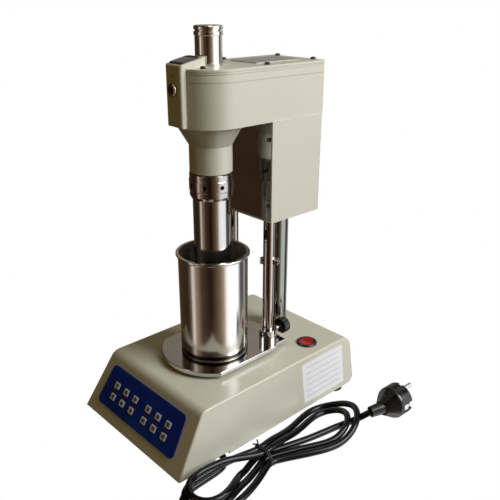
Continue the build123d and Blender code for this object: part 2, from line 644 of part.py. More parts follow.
def rotor_spindle():
    return tube(SPINDLE_RADIUS, SPINDLE_BORE, COLLAR_TOP - COLLAR_TOP_WALL, GEAR_TOP + 2)


def bearing(radius, bore, z0, width, groove):
    """A shielded bearing: its two faces are sunk between the rings."""
    ring = tube(radius, bore, z0, z0 + width)
    r0, r1 = bore + (radius - bore) * 0.3, bore + (radius - bore) * 0.7
    for z in (z0 - 1, z0 + width - groove):
        ring -= tube(r1, r0, z, z + 1 + groove)
    return ring


def spindle_bearings():
    lower = NECK_BOTTOM + NECK_LIP_HEIGHT
    upper = HEAD_FLOOR - BEARING_WIDTH - 2
    bore = SPINDLE_RADIUS + RUN
    return Compound([
        bearing(BEARING_RADIUS, bore, z, BEARING_WIDTH, BEARING_GROOVE) for z in (lower, upper)
    ])


def bob():
    z0 = SLEEVE_BOTTOM + BOB_RISE
    z1 = z0 + BOB_LENGTH
    body = turned([(0, z0), (BOB_RADIUS - 0.4, z0), (BOB_RADIUS, z0 + 0.4), (BOB_RADIUS, z1),
                   (SHAFT_RADIUS + 1, z1 + BOB_CONE), (0, z1 + BOB_CONE)])
    return body - cyl(SHAFT_RADIUS, z1 - 12, z1 + 20)


def bob_shaft():
    z0 = SLEEVE_BOTTOM + BOB_RISE + BOB_LENGTH - 12
    shaft = cyl(SHAFT_RADIUS, z0, SPRING_TOP - 0.5)
    flange = SPRING_COIL_RADIUS + SPRING_WIRE_RADIUS
    return shaft + cyl(flange, SPRING_BOTTOM - SHAFT_FLANGE_HEIGHT, SPRING_BOTTOM)


def bob_bearings():
    top = LID_CEILING - SMALL_BEARING_WIDTH
    return Compound([
        bearing(SMALL_BEARING_RADIUS, SHAFT_RADIUS + RUN, z, SMALL_BEARING_WIDTH, 0.8)
        for z in (LID_BOSS_BOTTOM + 0.5, top)
    ])


def dial():
    """A drum with its scale round the outside, on a hub fixed to the bob's shaft."""
    disc = tube(DIAL_RADIUS, SHAFT_RADIUS, DIAL_BOTTOM, DIAL_BOTTOM + DIAL_DISC)
    rim = tube(DIAL_RADIUS, DIAL_RADIUS - DIAL_RIM_WALL, DIAL_BOTTOM, DIAL_BOTTOM + DIAL_RIM)
    hub = tube(DIAL_HUB_RADIUS, SHAFT_RADIUS, DIAL_BOTTOM - 4, DIAL_BOTTOM + DIAL_DISC + 3)
    drum = disc + rim + hub
    for i in range(6):
        angle, reach = math.radians(60 * i), 0.6 * DIAL_RADIUS
        window = cyl(5.0, DIAL_BOTTOM - 1, DIAL_BOTTOM + DIAL_DISC + 1,
                     reach * math.cos(angle), ROTOR_Y + reach * math.sin(angle))
        drum -= window
    return drum


def torsion_spring():
    path = Helix(pitch=SPRING_LENGTH / SPRING_TURNS, height=SPRING_LENGTH - 2 * SPRING_WIRE_RADIUS,
                 radius=SPRING_COIL_RADIUS)
    section = Plane(origin=path @ 0, z_dir=path % 0) * Circle(SPRING_WIRE_RADIUS)
    coil = sweep(section, path=path)
    return Pos(0, ROTOR_Y, SPRING_BOTTOM + 0.75 * SPRING_WIRE_RADIUS) * coil


def spring_anchor():
    """Stands in the lid's spigot and holds the spring's upper end over the shaft."""
    ring = tube(ANCHOR_RADIUS, SHAFT_RADIUS + 1.4, LID_TOP, LID_TOP + 1.6)
    post = cyl(ANCHOR_POST_RADIUS, LID_TOP, ANCHOR_ARM_BOTTOM + ANCHOR_ARM_HEIGHT, ANCHOR_POST_X)
    arm = block(-SPRING_COIL_RADIUS, ANCHOR_POST_X + ANCHOR_POST_RADIUS,
                ROTOR_Y - ANCHOR_POST_RADIUS, ROTOR_Y + ANCHOR_POST_RADIUS,
                ANCHOR_ARM_BOTTOM, ANCHOR_ARM_BOTTOM + ANCHOR_ARM_HEIGHT)
    return ring + post + arm


def spring_cap():
    z0, z1 = LID_TOP, LID_TOP + CAP_HEIGHT
    b1 = z1 - CAP_BEAD_HEIGHT
    b2 = b1 - CAP_BEAD_GAP
    b3 = b2 - CAP_BEAD_HEIGHT
    profile = [
        (0, z1), (CAP_BEAD_RADIUS - 1.0, z1), (CAP_BEAD_RADIUS, z1 - 1.0), (CAP_BEAD_RADIUS, b1 + 0.5),
        (CAP_BEAD_RADIUS - 0.5, b1), (CAP_RADIUS - 0.4, b1), (CAP_RADIUS - 0.4, b2),
        (CAP_BEAD_RADIUS - 0.5, b2), (CAP_BEAD_RADIUS, b2 - 0.5), (CAP_BEAD_RADIUS, b3 + 0.5),
        (CAP_BEAD_RADIUS - 0.5, b3), (CAP_RADIUS, b3), (CAP_RADIUS, z0 + CAP_FOOT_HEIGHT + 0.5),
        (CAP_BEAD_RADIUS, z0 + CAP_FOOT_HEIGHT), (CAP_BEAD_RADIUS, z0), (CAP_BORE, z0),
        (CAP_BORE, z1 - CAP_TOP_WALL), (0, z1 - CAP_TOP_WALL)]
    return turned(profile)


def involute(radius, base):
    angle = math.acos(min(1.0, base / radius))
    return math.tan(angle) - angle


def gear(teeth, bore, z0, z1, y, first):
    """Spur gear with involute flanks, whose first tooth points at the angle first."""
    pitch = MODULE * teeth / 2
    base = pitch * math.cos(math.radians(PRESSURE_ANGLE))
    root, tip = pitch - 1.25 * MODULE, pitch + 0.95 * MODULE
    half = math.pi * TOOTH_SHARE / teeth + involute(pitch, base)
    radii = [max(base, root) + (tip - max(base, root)) * i / 2 for i in range(3)]
    points = []
    for tooth in range(teeth):
        centre = math.radians(first) + 2 * math.pi * tooth / teeth
        flank = [(r, half - involute(r, base)) for r in radii]
        if base > root:
            flank.insert(0, (root, half))
        for r, a in flank:
            points.append((r * math.cos(centre - a), r * math.sin(centre - a)))
        for r, a in reversed(flank):
            points.append((r * math.cos(centre + a), r * math.sin(centre + a)))
    blank = extrude(make_face(Polyline(*points, close=True)), z1 - z0)
    return Pos(0, y, z0) * blank - cyl(bore, z0 - 1, z1 + 1, 0, y)


def rotor_gear():
    wheel = gear(ROTOR_TEETH, SPINDLE_RADIUS, GEAR_BOTTOM, GEAR_TOP, ROTOR_Y, 90)
    wheel -= tube(20, 12.5, GEAR_TOP - 2.5, GEAR_TOP + 1)
    return wheel


def idler_gear():
    bore = IDLER_PIN_RADIUS + RUN
    wheel = gear(IDLER_TEETH, bore, GEAR_BOTTOM, GEAR_TOP, IDLER_Y, 270 + 180 / IDLER_TEETH)
    wheel -= tube(21.5, 9.0, GEAR_TOP - 2.5, GEAR_TOP + 1, 0, IDLER_Y)
    for i in range(5):
        angle = math.radians(72 * i)
        wheel -= cyl(4.0, GEAR_BOTTOM - 1, GEAR_TOP + 1, 15.2 * math.cos(angle),
                     IDLER_Y + 15.2 * math.sin(angle))
    return wheel


def motor_pinion():
    """The motor's shaft, with the pinion fixed on it."""
    wheel = gear(PINION_TEETH, PINION_SHAFT_RADIUS, GEAR_BOTTOM, GEAR_TOP, MOTOR_Y, 270)
    return wheel + cyl(PINION_SHAFT_RADIUS, HEAD_BOTTOM - 20, GEAR_TOP + 1.5, 0, MOTOR_Y)


def motor():
    body = cyl(MOTOR_RADIUS, HEAD_BOTTOM - MOTOR_LENGTH, HEAD_BOTTOM - MOTOR_FLANGE_THICKNESS,
               0, MOTOR_Y)
    body = fillet(body.edges().group_by(Axis.Z)[0], 3)
    flange = block(-MOTOR_FLANGE, MOTOR_FLANGE, MOTOR_Y - MOTOR_FLANGE, MOTOR_Y + MOTOR_FLANGE,
                   HEAD_BOTTOM - MOTOR_FLANGE_THICKNESS, HEAD_BOTTOM)
    flange = fillet(flange.edges().filter_by(Axis.Z), 5)
    return body + flange - cyl(PINION_SHAFT_RADIUS + RUN, HEAD_BOTTOM - 22, 400, 0, MOTOR_Y)


def head_outline(inset):
    radius, rear = HEAD_RADIUS - inset, HEAD_REAR - inset
    arc = ThreePointArc((-radius, ROTOR_Y), (0, ROTOR_Y - radius), (radius, ROTOR_Y))
    sides = Polyline((radius, ROTOR_Y), (radius, rear), (-radius, rear), (-radius, ROTOR_Y))
    outline = make_face([arc, sides])
    rear_corners = outline.vertices().group_by(Axis.Y)[-1]
    return fillet(rear_corners, max(HEAD_CORNER - inset, 0.8))


def head_prism(inset, z0, z1):
    return Pos(0, 0, z0) * extrude(head_outline(inset), z1 - z0)


def viewer_port(z0, z1):
    """The light's way from the dial to the viewer, through the nose's wall."""
    half = VIEWER_HALF - 2 * VIEWER_WALL
    return block(-half, half, NOSE_Y - 1, NOSE_Y + VIEWER_PORT_DEPTH, z0, z1)


def head_housing():
    body = head_prism(0, HEAD_BOTTOM, LID_SEAM) - head_prism(HEAD_WALL, HEAD_FLOOR, LID_SEAM + 1)
    neck = turned([(0, NECK_BOTTOM), (NECK_RADIUS - 0.6, NECK_BOTTOM), (NECK_RADIUS, NECK_BOTTOM + 0.6),
                   (NECK_RADIUS, NECK_TOP), (CONE_TOP_RADIUS, HEAD_BOTTOM), (0, HEAD_BOTTOM)])
    body += neck
    body -= cyl(BEARING_RADIUS, NECK_BOTTOM + NECK_LIP_HEIGHT, HEAD_FLOOR + 1)
    body -= cyl(NECK_LIP_RADIUS, NECK_BOTTOM - 1, NECK_BOTTOM + NECK_LIP_HEIGHT + 1)
    body -= cyl(PINION_SHAFT_RADIUS + 3, HEAD_BOTTOM - 1, HEAD_FLOOR + 1, 0, MOTOR_Y)
    body += cyl(IDLER_BOSS_RADIUS, HEAD_FLOOR, GEAR_BOTTOM - SEAT, 0, IDLER_Y)
    body += cyl(IDLER_PIN_RADIUS, HEAD_FLOOR, GEAR_TOP + 2, 0, IDLER_Y)
    for x, y in LID_SCREWS:
        for side in (-1, 1):
            post = cyl(LID_POST_RADIUS, HEAD_FLOOR, LID_SEAM, side * x, y)
            body += post & head_prism(HEAD_WALL / 2, HEAD_FLOOR, LID_SEAM)
            body -= cyl(LID_SCREW_SHANK, LID_SEAM - 6, LID_SEAM + 1, side * x, y)
    return body - viewer_port(VIEWER_CAVITY_BOTTOM, LID_SEAM + 1)


def head_lid():
    lid = head_prism(0, LID_SEAM, LID_TOP)
    lid = chamfer(lid.faces().sort_by(Axis.Z)[-1].edges(), 0.6)
    lid -= head_prism(HEAD_WALL, LID_SEAM - 1, LID_CEILING)
    for z, height in ((LID_SEAM - 1, 1.9), (LID_TOP - 3.6, 0.8), (LID_TOP - 5.8, 0.8)):
        lid -= head_prism(-1, z, z + height) - head_prism(LID_GROOVE, z - 1, z + height + 1)
    lid += cyl(LID_BOSS_RADIUS, LID_BOSS_BOTTOM, LID_CEILING)
    lid -= cyl(SMALL_BEARING_RADIUS, LID_BOSS_BOTTOM - 1, LID_CEILING)
    lid -= cyl(SHAFT_RADIUS + 1.2, LID_CEILING - 1, LID_TOP + 1)
    lid += tube(CAP_BORE - RUN, ANCHOR_RADIUS, LID_TOP, LID_TOP + CAP_SPIGOT_HEIGHT)
    for x, y in LID_SCREWS:
        for side in (-1, 1):
            post = tube(LID_POST_RADIUS, LID_SCREW_SHANK, LID_SEAM, LID_CEILING, side * x, y)
            lid += post & head_prism(HEAD_WALL / 2, LID_SEAM, LID_CEILING)
            lid -= cyl(LID_SCREW_SHANK, LID_SEAM - 1, LID_TOP + 1, side * x, y)
    return lid - viewer_port(LID_SEAM - 1, LID_TOP + 1)


def lid_screws():
    """Dome-headed screws, down through the lid into the head's posts."""
    screws = []
    dome = 2 * LID_SCREW_RADIUS
    for x, y in LID_SCREWS:
        for side in (-1, 1):
            head = cyl(LID_SCREW_RADIUS, LID_TOP, LID_TOP + LID_SCREW_RISE, side * x, y)
            head &= Pos(side * x, y, LID_TOP + LID_SCREW_RISE - dome) * Sphere(dome)
            head += cyl(LID_SCREW_SHANK, LID_SEAM - 5, LID_TOP, side * x, y)
            screws.append(head)
    return Compound(screws)


def viewer_profile(front, top_drop, bottom):
    """Side view of the viewer: an upright front and a top that rises towards the rear."""
    rear = ROTOR_Y - VIEWER_REAR
    points = [(0, front, bottom), (0, front, VIEWER_FRONT_TOP - top_drop),
              (0, rear, VIEWER_REAR_TOP - top_drop), (0, rear, bottom)]
    return make_face(Polyline(*points, close=True))


def slope_top_plane():
    rise = VIEWER_REAR_TOP - VIEWER_FRONT_TOP
    run = ROTOR_Y - VIEWER_REAR - VIEWER_FRONT
    length = math.hypot(rise, run)
    return Plane(origin=(0, VIEWER_FRONT, VIEWER_FRONT_TOP), x_dir=(1, 0, 0),
                 z_dir=(0, -rise / length, run / length))


def viewer_block():
    solid = extrude(viewer_profile(VIEWER_FRONT, 0, HEAD_BOTTOM + 1), VIEWER_HALF, both=True)
    front_edges = solid.faces().sort_by(Axis.Y)[0].edges()
    solid = fillet(front_edges, VIEWER_ROUND)
    solid -= head_prism(0, HEAD_BOTTOM - 1, LID_TOP)
    half = VIEWER_HALF - VIEWER_WALL
    solid -= block(-half, half, VIEWER_FRONT + VIEWER_WALL, NOSE_Y + VIEWER_PORT_DEPTH,
                   VIEWER_CAVITY_BOTTOM, VIEWER_FRONT_TOP - 2.0)
    aperture = Box(2 * (FRAME_HALF - FRAME_BORDER), FRAME_LENGTH - 2 * FRAME_BORDER, 16)
    solid -= slope_top_plane() * Pos(0, FRAME_START + FRAME_LENGTH / 2, 0) * aperture
    for z, radius in ((LAMP_HEIGHT, LAMP_RADIUS - 1.6), (VIEWER_HOLE_HEIGHT, VIEWER_HOLE_RADIUS)):
        solid -= Pos(0, VIEWER_FRONT - 1, z) * Rot(-90, 0, 0) * Cylinder(radius, 5, align=BOTTOM)
    return solid


def viewer_frame():
    middle = FRAME_START + FRAME_LENGTH / 2
    frame = Box(2 * FRAME_HALF, FRAME_LENGTH, FRAME_THICKNESS, align=BOTTOM)
    frame = fillet(frame.edges().filter_by(Axis.Z), 1.5)
    frame -= Box(2 * (FRAME_HALF - FRAME_BORDER), FRAME_LENGTH - 2 * FRAME_BORDER, 10)
    return slope_top_plane() * Pos(0, middle, 0) * frame


def viewer_lens():
    middle = FRAME_START + FRAME_LENGTH / 2
    lens = Box(2 * (FRAME_HALF - FRAME_BORDER), FRAME_LENGTH - 2 * FRAME_BORDER,
               FRAME_THICKNESS - 0.4, align=BOTTOM)
    return slope_top_plane() * Pos(0, middle, 0) * lens


def lamp_cap():
    cap = Cylinder(LAMP_RADIUS, LAMP_PROUD, align=BOTTOM)
    cap = fillet(cap.edges().group_by(Axis.Z)[-1], 1.2)
    cap += Pos(0, 0, LAMP_PROUD) * Cylinder(LAMP_BUTTON, 0.8, align=BOTTOM)
    cap += Pos(0, 0, -2.0) * Cylinder(LAMP_RADIUS - 1.6, 2.0, align=BOTTOM)
    return Pos(0, VIEWER_FRONT, LAMP_HEIGHT) * Rot(90, 0, 0) * cap


def lower_box():
    """Folded sheet cover of the motor, open above and in front, with flanges for its front plate."""
    def prism(inset, z0, z1):
        sketch = Rectangle(2 * (BOX_HALF_WIDTH - inset), BOX_REAR - BOX_FRONT - 2 * inset)
        sketch = fillet(sketch.vertices().group_by(Axis.Y)[-1], BOX_CORNER - inset / 2)
        return Pos(0, (BOX_FRONT + BOX_REAR) / 2, z0) * extrude(sketch, z1 - z0)
    shell = prism(0, BOX_BOTTOM, HEAD_BOTTOM)
    shell -= prism(BOX_WALL, BOX_BOTTOM + BOX_WALL, HEAD_BOTTOM + 1)
    shell -= block(-BOX_HALF_WIDTH + BOX_WALL, BOX_HALF_WIDTH - BOX_WALL, BOX_FRONT - 1,
                   BOX_FRONT + 3, BOX_BOTTOM + BOX_WALL, HEAD_BOTTOM + 1)
    for side in (-1, 1):
        inner, outer = sorted((side * (BOX_HALF_WIDTH - BOX_WALL - BOX_FLANGE),
                               side * (BOX_HALF_WIDTH - BOX_WALL)))
        shell += block(inner, outer, BOX_FLANGE_FRONT, BOX_FLANGE_FRONT + 1.5,
                       BOX_BOTTOM + BOX_WALL, HEAD_BOTTOM)
        shell -= cyl(SPIGOT_RADIUS, 200, BOX_BOTTOM + BOX_WALL + 1, side * ROD_X, ROD_Y)
        for z in BOX_SCREW_HEIGHTS:
            hole = Rot(-90, 0, 0) * Cylinder(BOX_SCREW_SHANK, 6, align=BOTTOM)
            shell -= Pos(side * BOX_SCREW_X, BOX_FLANGE_FRONT - 1, z) * hole
    shell -= cyl(COLUMN_SPIGOT_RADIUS, 200, BOX_BOTTOM + BOX_WALL + 1, 0, COLUMN_Y)
    return shell


def box_front():
    half = BOX_HALF_WIDTH - BOX_WALL - BOX_PLATE_GAP
    plate = block(-half, half, BOX_PLATE_FRONT, BOX_FLANGE_FRONT,
                  BOX_BOTTOM + BOX_WALL + BOX_PLATE_GAP, HEAD_BOTTOM - BOX_PLATE_GAP)
    for side in (-1, 1):
        for z in BOX_SCREW_HEIGHTS:
            hole = Rot(-90, 0, 0) * Cylinder(BOX_SCREW_SHANK, 6, align=BOTTOM)
            plate -= Pos(side * BOX_SCREW_X, BOX_PLATE_FRONT - 1, z) * hole
    return plate


def box_screws():
    screws = []
    for side in (-1, 1):
        for z in BOX_SCREW_HEIGHTS:
            head = Cylinder(BOX_SCREW_RADIUS, BOX_SCREW_RISE, align=BOTTOM)
            head = fillet(head.edges().group_by(Axis.Z)[-1], 0.7)
            head += Pos(0, 0, -BOX_SCREW_LENGTH) * Cylinder(BOX_SCREW_SHANK, BOX_SCREW_LENGTH,
                                                            align=BOTTOM)
            screws.append(Pos(side * BOX_SCREW_X, BOX_PLATE_FRONT, z) * Rot(90, 0, 0) * head)
    return Compound(screws)


# The lead's free runs, as corner points. The first run leaves the gland under the base's right
# edge and joins the hank. The second leaves the hank's tie and ends in the plug.
LEAD_ROUTE = ((GLAND_START + GLAND_LENGTH, GLAND_Y, GLAND_HEIGHT), (86.5, GLAND_Y, 5.0),
              (96.8, -82.0, 3.9), (101.0, -93.5, 3.9), (101.0, -107.0, 3.9))
TAIL_ROUTE = ((116.6, -29.0, 6.0), (121.2, -14.0, 4.6), (125.6, 2.0, 3.9), (129.4, 18.0, 3.9),
              (132.8, 36.0, 3.9), (137.4, 57.0, 4.4), (144.6, 74.4, 8.2), PLUG_NECK_END)


def cord_tube(route):
    """A plain tube: straight runs joined by the largest arcs that they leave room for."""
    points = [Vector(*p) for p in route]
    radii = []
    for before, here, after in zip(points, points[1:], points[2:]):
        turn = math.radians((here - before).get_angle(after - here))
        shorter = min((here - before).length, (after - here).length)
        radii.append(0.45 * shorter / math.tan(turn / 2))
    print("cord radii", [round(r, 1) for r in radii])
    path = FilletPolyline(*points, radius=radii)
    section = Plane(origin=path @ 0, z_dir=path % 0) * Circle(CORD_RADIUS)
    solid = sweep(section, path=path)
    print("cord tube", round(solid.volume / (math.pi * CORD_RADIUS ** 2 * path.length), 4))
    return solid


def cord_runs():
    return Compound([cord_tube(LEAD_ROUTE), cord_tube(TAIL_ROUTE)])


def closed_curve(points):
    return make_face(Spline(*points, periodic=True))


def cord_hank():
    """Loops of the folded lead, one each side of the tie; the front ones lie on each other."""
    outer = closed_curve([
        (112, -52), (102, -72), (97.5, -95), (97.5, -130), (106, -150), (122, -157.6),
        (140, -152), (150.5, -136), (150.6, -113), (144, -82), (134, -52), (133.5, -38),
        (145, -16), (158, 12), (162.3, 34), (160, 56), (150, 76), (136, 86.8), (119, 87.8),
        (103, 78.5), (93.2, 62), (93.2, 44), (97, 18), (102, -8), (107, -34)])
    front = closed_curve([(117, -80), (108, -104), (108, -130), (122, -146), (138, -136),
                          (139, -116), (130, -92)])
    rear = closed_curve([(121, -14), (115, 12), (111.5, 40), (116, 60), (128, 65), (141, 58),
                         (146, 40), (139, 12)])
    stack = closed_curve([(117, -58), (107, -74), (99.5, -98), (99.5, -130), (109, -146),
                          (122, -153.5), (138, -147), (147.5, -130), (146, -108), (133, -84)])
    hank = extrude(outer - front - rear, HANK_HEIGHT)
    return hank + extrude(stack - front, STACK_HEIGHT)


def strain_relief():
    """A clamp under the base plate, and the tapered sleeve round the lead."""
    length = GLAND_LENGTH
    sleeve = Cone(GLAND_RADIUS, CORD_RADIUS + 0.7, length, align=BOTTOM)
    sleeve -= Cylinder(CORD_RADIUS, 3 * length)
    sleeve = Pos(GLAND_START, GLAND_Y, GLAND_HEIGHT) * Rot(0, 90, 0) * sleeve
    clamp = block(GLAND_START - 12, GLAND_START, GLAND_Y - 9, GLAND_Y + 9,
                  GLAND_HEIGHT - GLAND_RADIUS + 0.4, BASE_PLATE_BOTTOM)
    clamp -= block(GLAND_START - 13, GLAND_START + 1, GLAND_Y - 10, GLAND_Y - GLAND_RADIUS,
                   0, BASE_PLATE_BOTTOM - 3)
    clamp -= block(GLAND_START - 13, GLAND_START + 1, GLAND_Y + GLAND_RADIUS, GLAND_Y + 10,
                   0, BASE_PLATE_BOTTOM - 3)
    return clamp + sleeve


def plug_place():
    return Pos(PLUG_X, PLUG_Y, PLUG_RADIUS) * Rot(0, 0, PLUG_TURN) * Rot(-90, 0, 0)


def plug_slots(deeper):
    """Earth-contact slots on the left and right, and narrower guide grooves above and below."""
    half = PLUG_SLOT_LENGTH + deeper
    slots = []
    for side in (-1, 1):
        slot = Box(2 * (PLUG_SLOT_DEPTH + deeper), PLUG_SLOT_WIDTH, 2 * half)
        slots.append(Pos(side * PLUG_RADIUS, 0, PLUG_LENGTH) * slot)
        slots.append(Pos(0, side * PLUG_RADIUS, PLUG_LENGTH) * Box(5, 5, 2 * half))
    return slots


def plug_body():
    """Tapered shoulder and round collar, with a bent-over neck where the lead comes in."""
    profile = [(0, 0), (PLUG_REAR_RADIUS, 0), (PLUG_RADIUS, PLUG_SHOULDER),
               (PLUG_RADIUS, PLUG_LENGTH), (0, PLUG_LENGTH)]
    body = revolve(Plane.XZ * make_face(Polyline(*profile, close=True)), Axis.Z)
    rings = body.edges().filter_by(GeomType.CIRCLE).sort_by(Axis.Z)
    body = fillet(rings[1], 7.0)
    body = fillet(body.edges().filter_by(GeomType.CIRCLE).sort_by(Axis.Z)[-1], 1.2)
    for slot in plug_slots(0):
        body -= slot
    for side in (-1, 1):
        socket = Cylinder(PLUG_PIN_RADIUS, 24, align=BOTTOM)
        body -= Pos(0, side * PLUG_PIN_SPACING / 2, PLUG_LENGTH - 12) * socket
    body = plug_place() * body
    start = Vector(*PLUG_NECK_END)
    line = plug_place() * Pos(0, 0, 3)
    run = line.position - start
    neck = Cone(PLUG_NECK_RADIUS - 1.1, PLUG_NECK_RADIUS, run.length, align=BOTTOM)
    body += Plane(origin=start, z_dir=run) * neck
    return body - cord_tube(TAIL_ROUTE)


def plug_pins():
    """Two round pins, one above the other, and the spring strips of the side earth contacts."""
    pins = []
    for side in (-1, 1):
        pin = Cylinder(PLUG_PIN_RADIUS, PLUG_PIN_LENGTH + 12, align=BOTTOM)
        pin = fillet(pin.edges().group_by(Axis.Z)[-1], 1.4)
        pins.append(plug_place() * Pos(0, side * PLUG_PIN_SPACING / 2, PLUG_LENGTH - 12) * pin)
        floor = PLUG_RADIUS - PLUG_SLOT_DEPTH
        bottom = PLUG_LENGTH - PLUG_SLOT_LENGTH
        outline = [
            (floor, bottom), (floor + PLUG_CLIP_RISE, bottom + 1.5),
            (floor + PLUG_CLIP_RISE + 0.4, bottom + 8), (floor + 1.6, PLUG_LENGTH - 1.5),
            (floor, PLUG_LENGTH - 1.5),
        ]
        inner = [
            (floor - 1, bottom + PLUG_CLIP + 1), (floor + PLUG_CLIP_RISE - 1.2, bottom + 2.8),
            (floor + PLUG_CLIP_RISE - 0.6, bottom + 8), (floor + 0.7, PLUG_LENGTH - 3),
            (floor - 1, PLUG_LENGTH - 3),
        ]
        strip = make_face(Polyline(*outline, close=True)) - make_face(Polyline(*inner, close=True))
        clip = extrude(Plane.XZ * strip, PLUG_CLIP_WIDTH / 2, both=True)
        turn = 0 if side == 1 else 180
        pins.append(plug_place() * Rot(0, 0, turn) * clip)
    return Compound(pins)


NODES = {
    "base_housing": base_housing, "base_plate": base_plate, "base_feet": base_feet,
    "keypad_panel": keypad_panel, "keypad_board": keypad_board, "control_board": control_board,
    "transformer": transformer, "switch_bezel": switch_bezel, "switch_rocker": switch_rocker,
    "guide_rods": guide_rods, "main_column": main_column, "rod_collars": rod_collars,
    "stop_bolt": stop_bolt, "stage_plate": stage_plate, "stage_hubs": stage_hubs,
    "lock_stud": lock_stud, "lock_knob": lock_knob, "sample_cup": sample_cup,
    "rotor_sleeve": rotor_sleeve, "rotor_collar": rotor_collar, "rotor_spindle": rotor_spindle,
    "rotor_gear": rotor_gear, "spindle_bearings": spindle_bearings, "idler_gear": idler_gear,
    "motor": motor, "motor_pinion": motor_pinion, "bob": bob, "bob_shaft": bob_shaft,
    "bob_bearings": bob_bearings, "dial": dial, "torsion_spring": torsion_spring,
    "spring_anchor": spring_anchor, "spring_cap": spring_cap, "head_housing": head_housing,
    "head_lid": head_lid, "lid_screws": lid_screws, "viewer_block": viewer_block,
    "viewer_frame": viewer_frame, "viewer_lens": viewer_lens, "lamp_cap": lamp_cap,
    "lower_box": lower_box, "box_front": box_front, "box_screws": box_screws,
    "cord_runs": cord_runs, "cord_hank": cord_hank, "strain_relief": strain_relief,
    "plug_body": plug_body, "plug_pins": plug_pins,
}

os.makedirs("parts", exist_ok=True)
for name, make in NODES.items():
    export_step(make(), f"parts/{name}.step")
for number, (key_x, key_down) in enumerate(KEY_CENTRES, 1):
    export_step(key(key_x, key_down), f"parts/key_{number:02d}.step")
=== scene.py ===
import bpy
import bmesh
import math
from mathutils import Matrix, Quaternion, Vector


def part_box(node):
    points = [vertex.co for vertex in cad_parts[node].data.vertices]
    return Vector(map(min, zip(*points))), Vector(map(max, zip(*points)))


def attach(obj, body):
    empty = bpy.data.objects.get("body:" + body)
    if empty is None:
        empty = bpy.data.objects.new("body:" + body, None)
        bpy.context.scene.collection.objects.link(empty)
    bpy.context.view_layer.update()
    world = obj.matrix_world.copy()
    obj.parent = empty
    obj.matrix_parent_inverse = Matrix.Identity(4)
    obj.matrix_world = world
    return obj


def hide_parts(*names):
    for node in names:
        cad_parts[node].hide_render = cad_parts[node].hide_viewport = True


MM = 0.001


def mm(x, y, z):
    return Vector((x * MM, y * MM, z * MM))


def add(name, data):
    """A new object of the data, in the scene."""
    obj = bpy.data.objects.new(name, data)
    bpy.context.scene.collection.objects.link(obj)
    return obj


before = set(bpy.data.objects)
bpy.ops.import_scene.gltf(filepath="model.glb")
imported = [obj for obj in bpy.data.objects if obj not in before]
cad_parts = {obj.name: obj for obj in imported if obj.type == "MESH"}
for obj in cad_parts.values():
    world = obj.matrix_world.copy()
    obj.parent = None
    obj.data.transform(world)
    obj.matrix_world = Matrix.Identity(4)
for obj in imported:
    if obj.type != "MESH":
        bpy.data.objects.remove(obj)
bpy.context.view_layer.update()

# camera, fitted to the photograph
TARGET = mm(54.99, -8.07, 212.03)
AZIMUTH = math.radians(47.08)
ELEVATION = math.radians(21.96)
ROLL = math.radians(0.13)
DISTANCE = 670.92 * MM
LENS = 46.41
SENSOR = 36.0
back = Vector((
    math.sin(AZIMUTH) * math.cos(ELEVATION),
    -math.cos(AZIMUTH) * math.cos(ELEVATION),
    math.sin(ELEVATION),
))
camera_data = bpy.data.cameras.new("camera")
camera_data.lens = LENS
camera_data.sensor_width = SENSOR
camera_data.clip_start = 0.01
camera = add("camera", camera_data)
camera.location = TARGET + back * DISTANCE
camera.rotation_mode = "QUATERNION"
camera.rotation_quaternion = back.to_track_quat("Z", "Y") @ Quaternion((0, 0, 1), ROLL)
bpy.context.scene.camera = camera

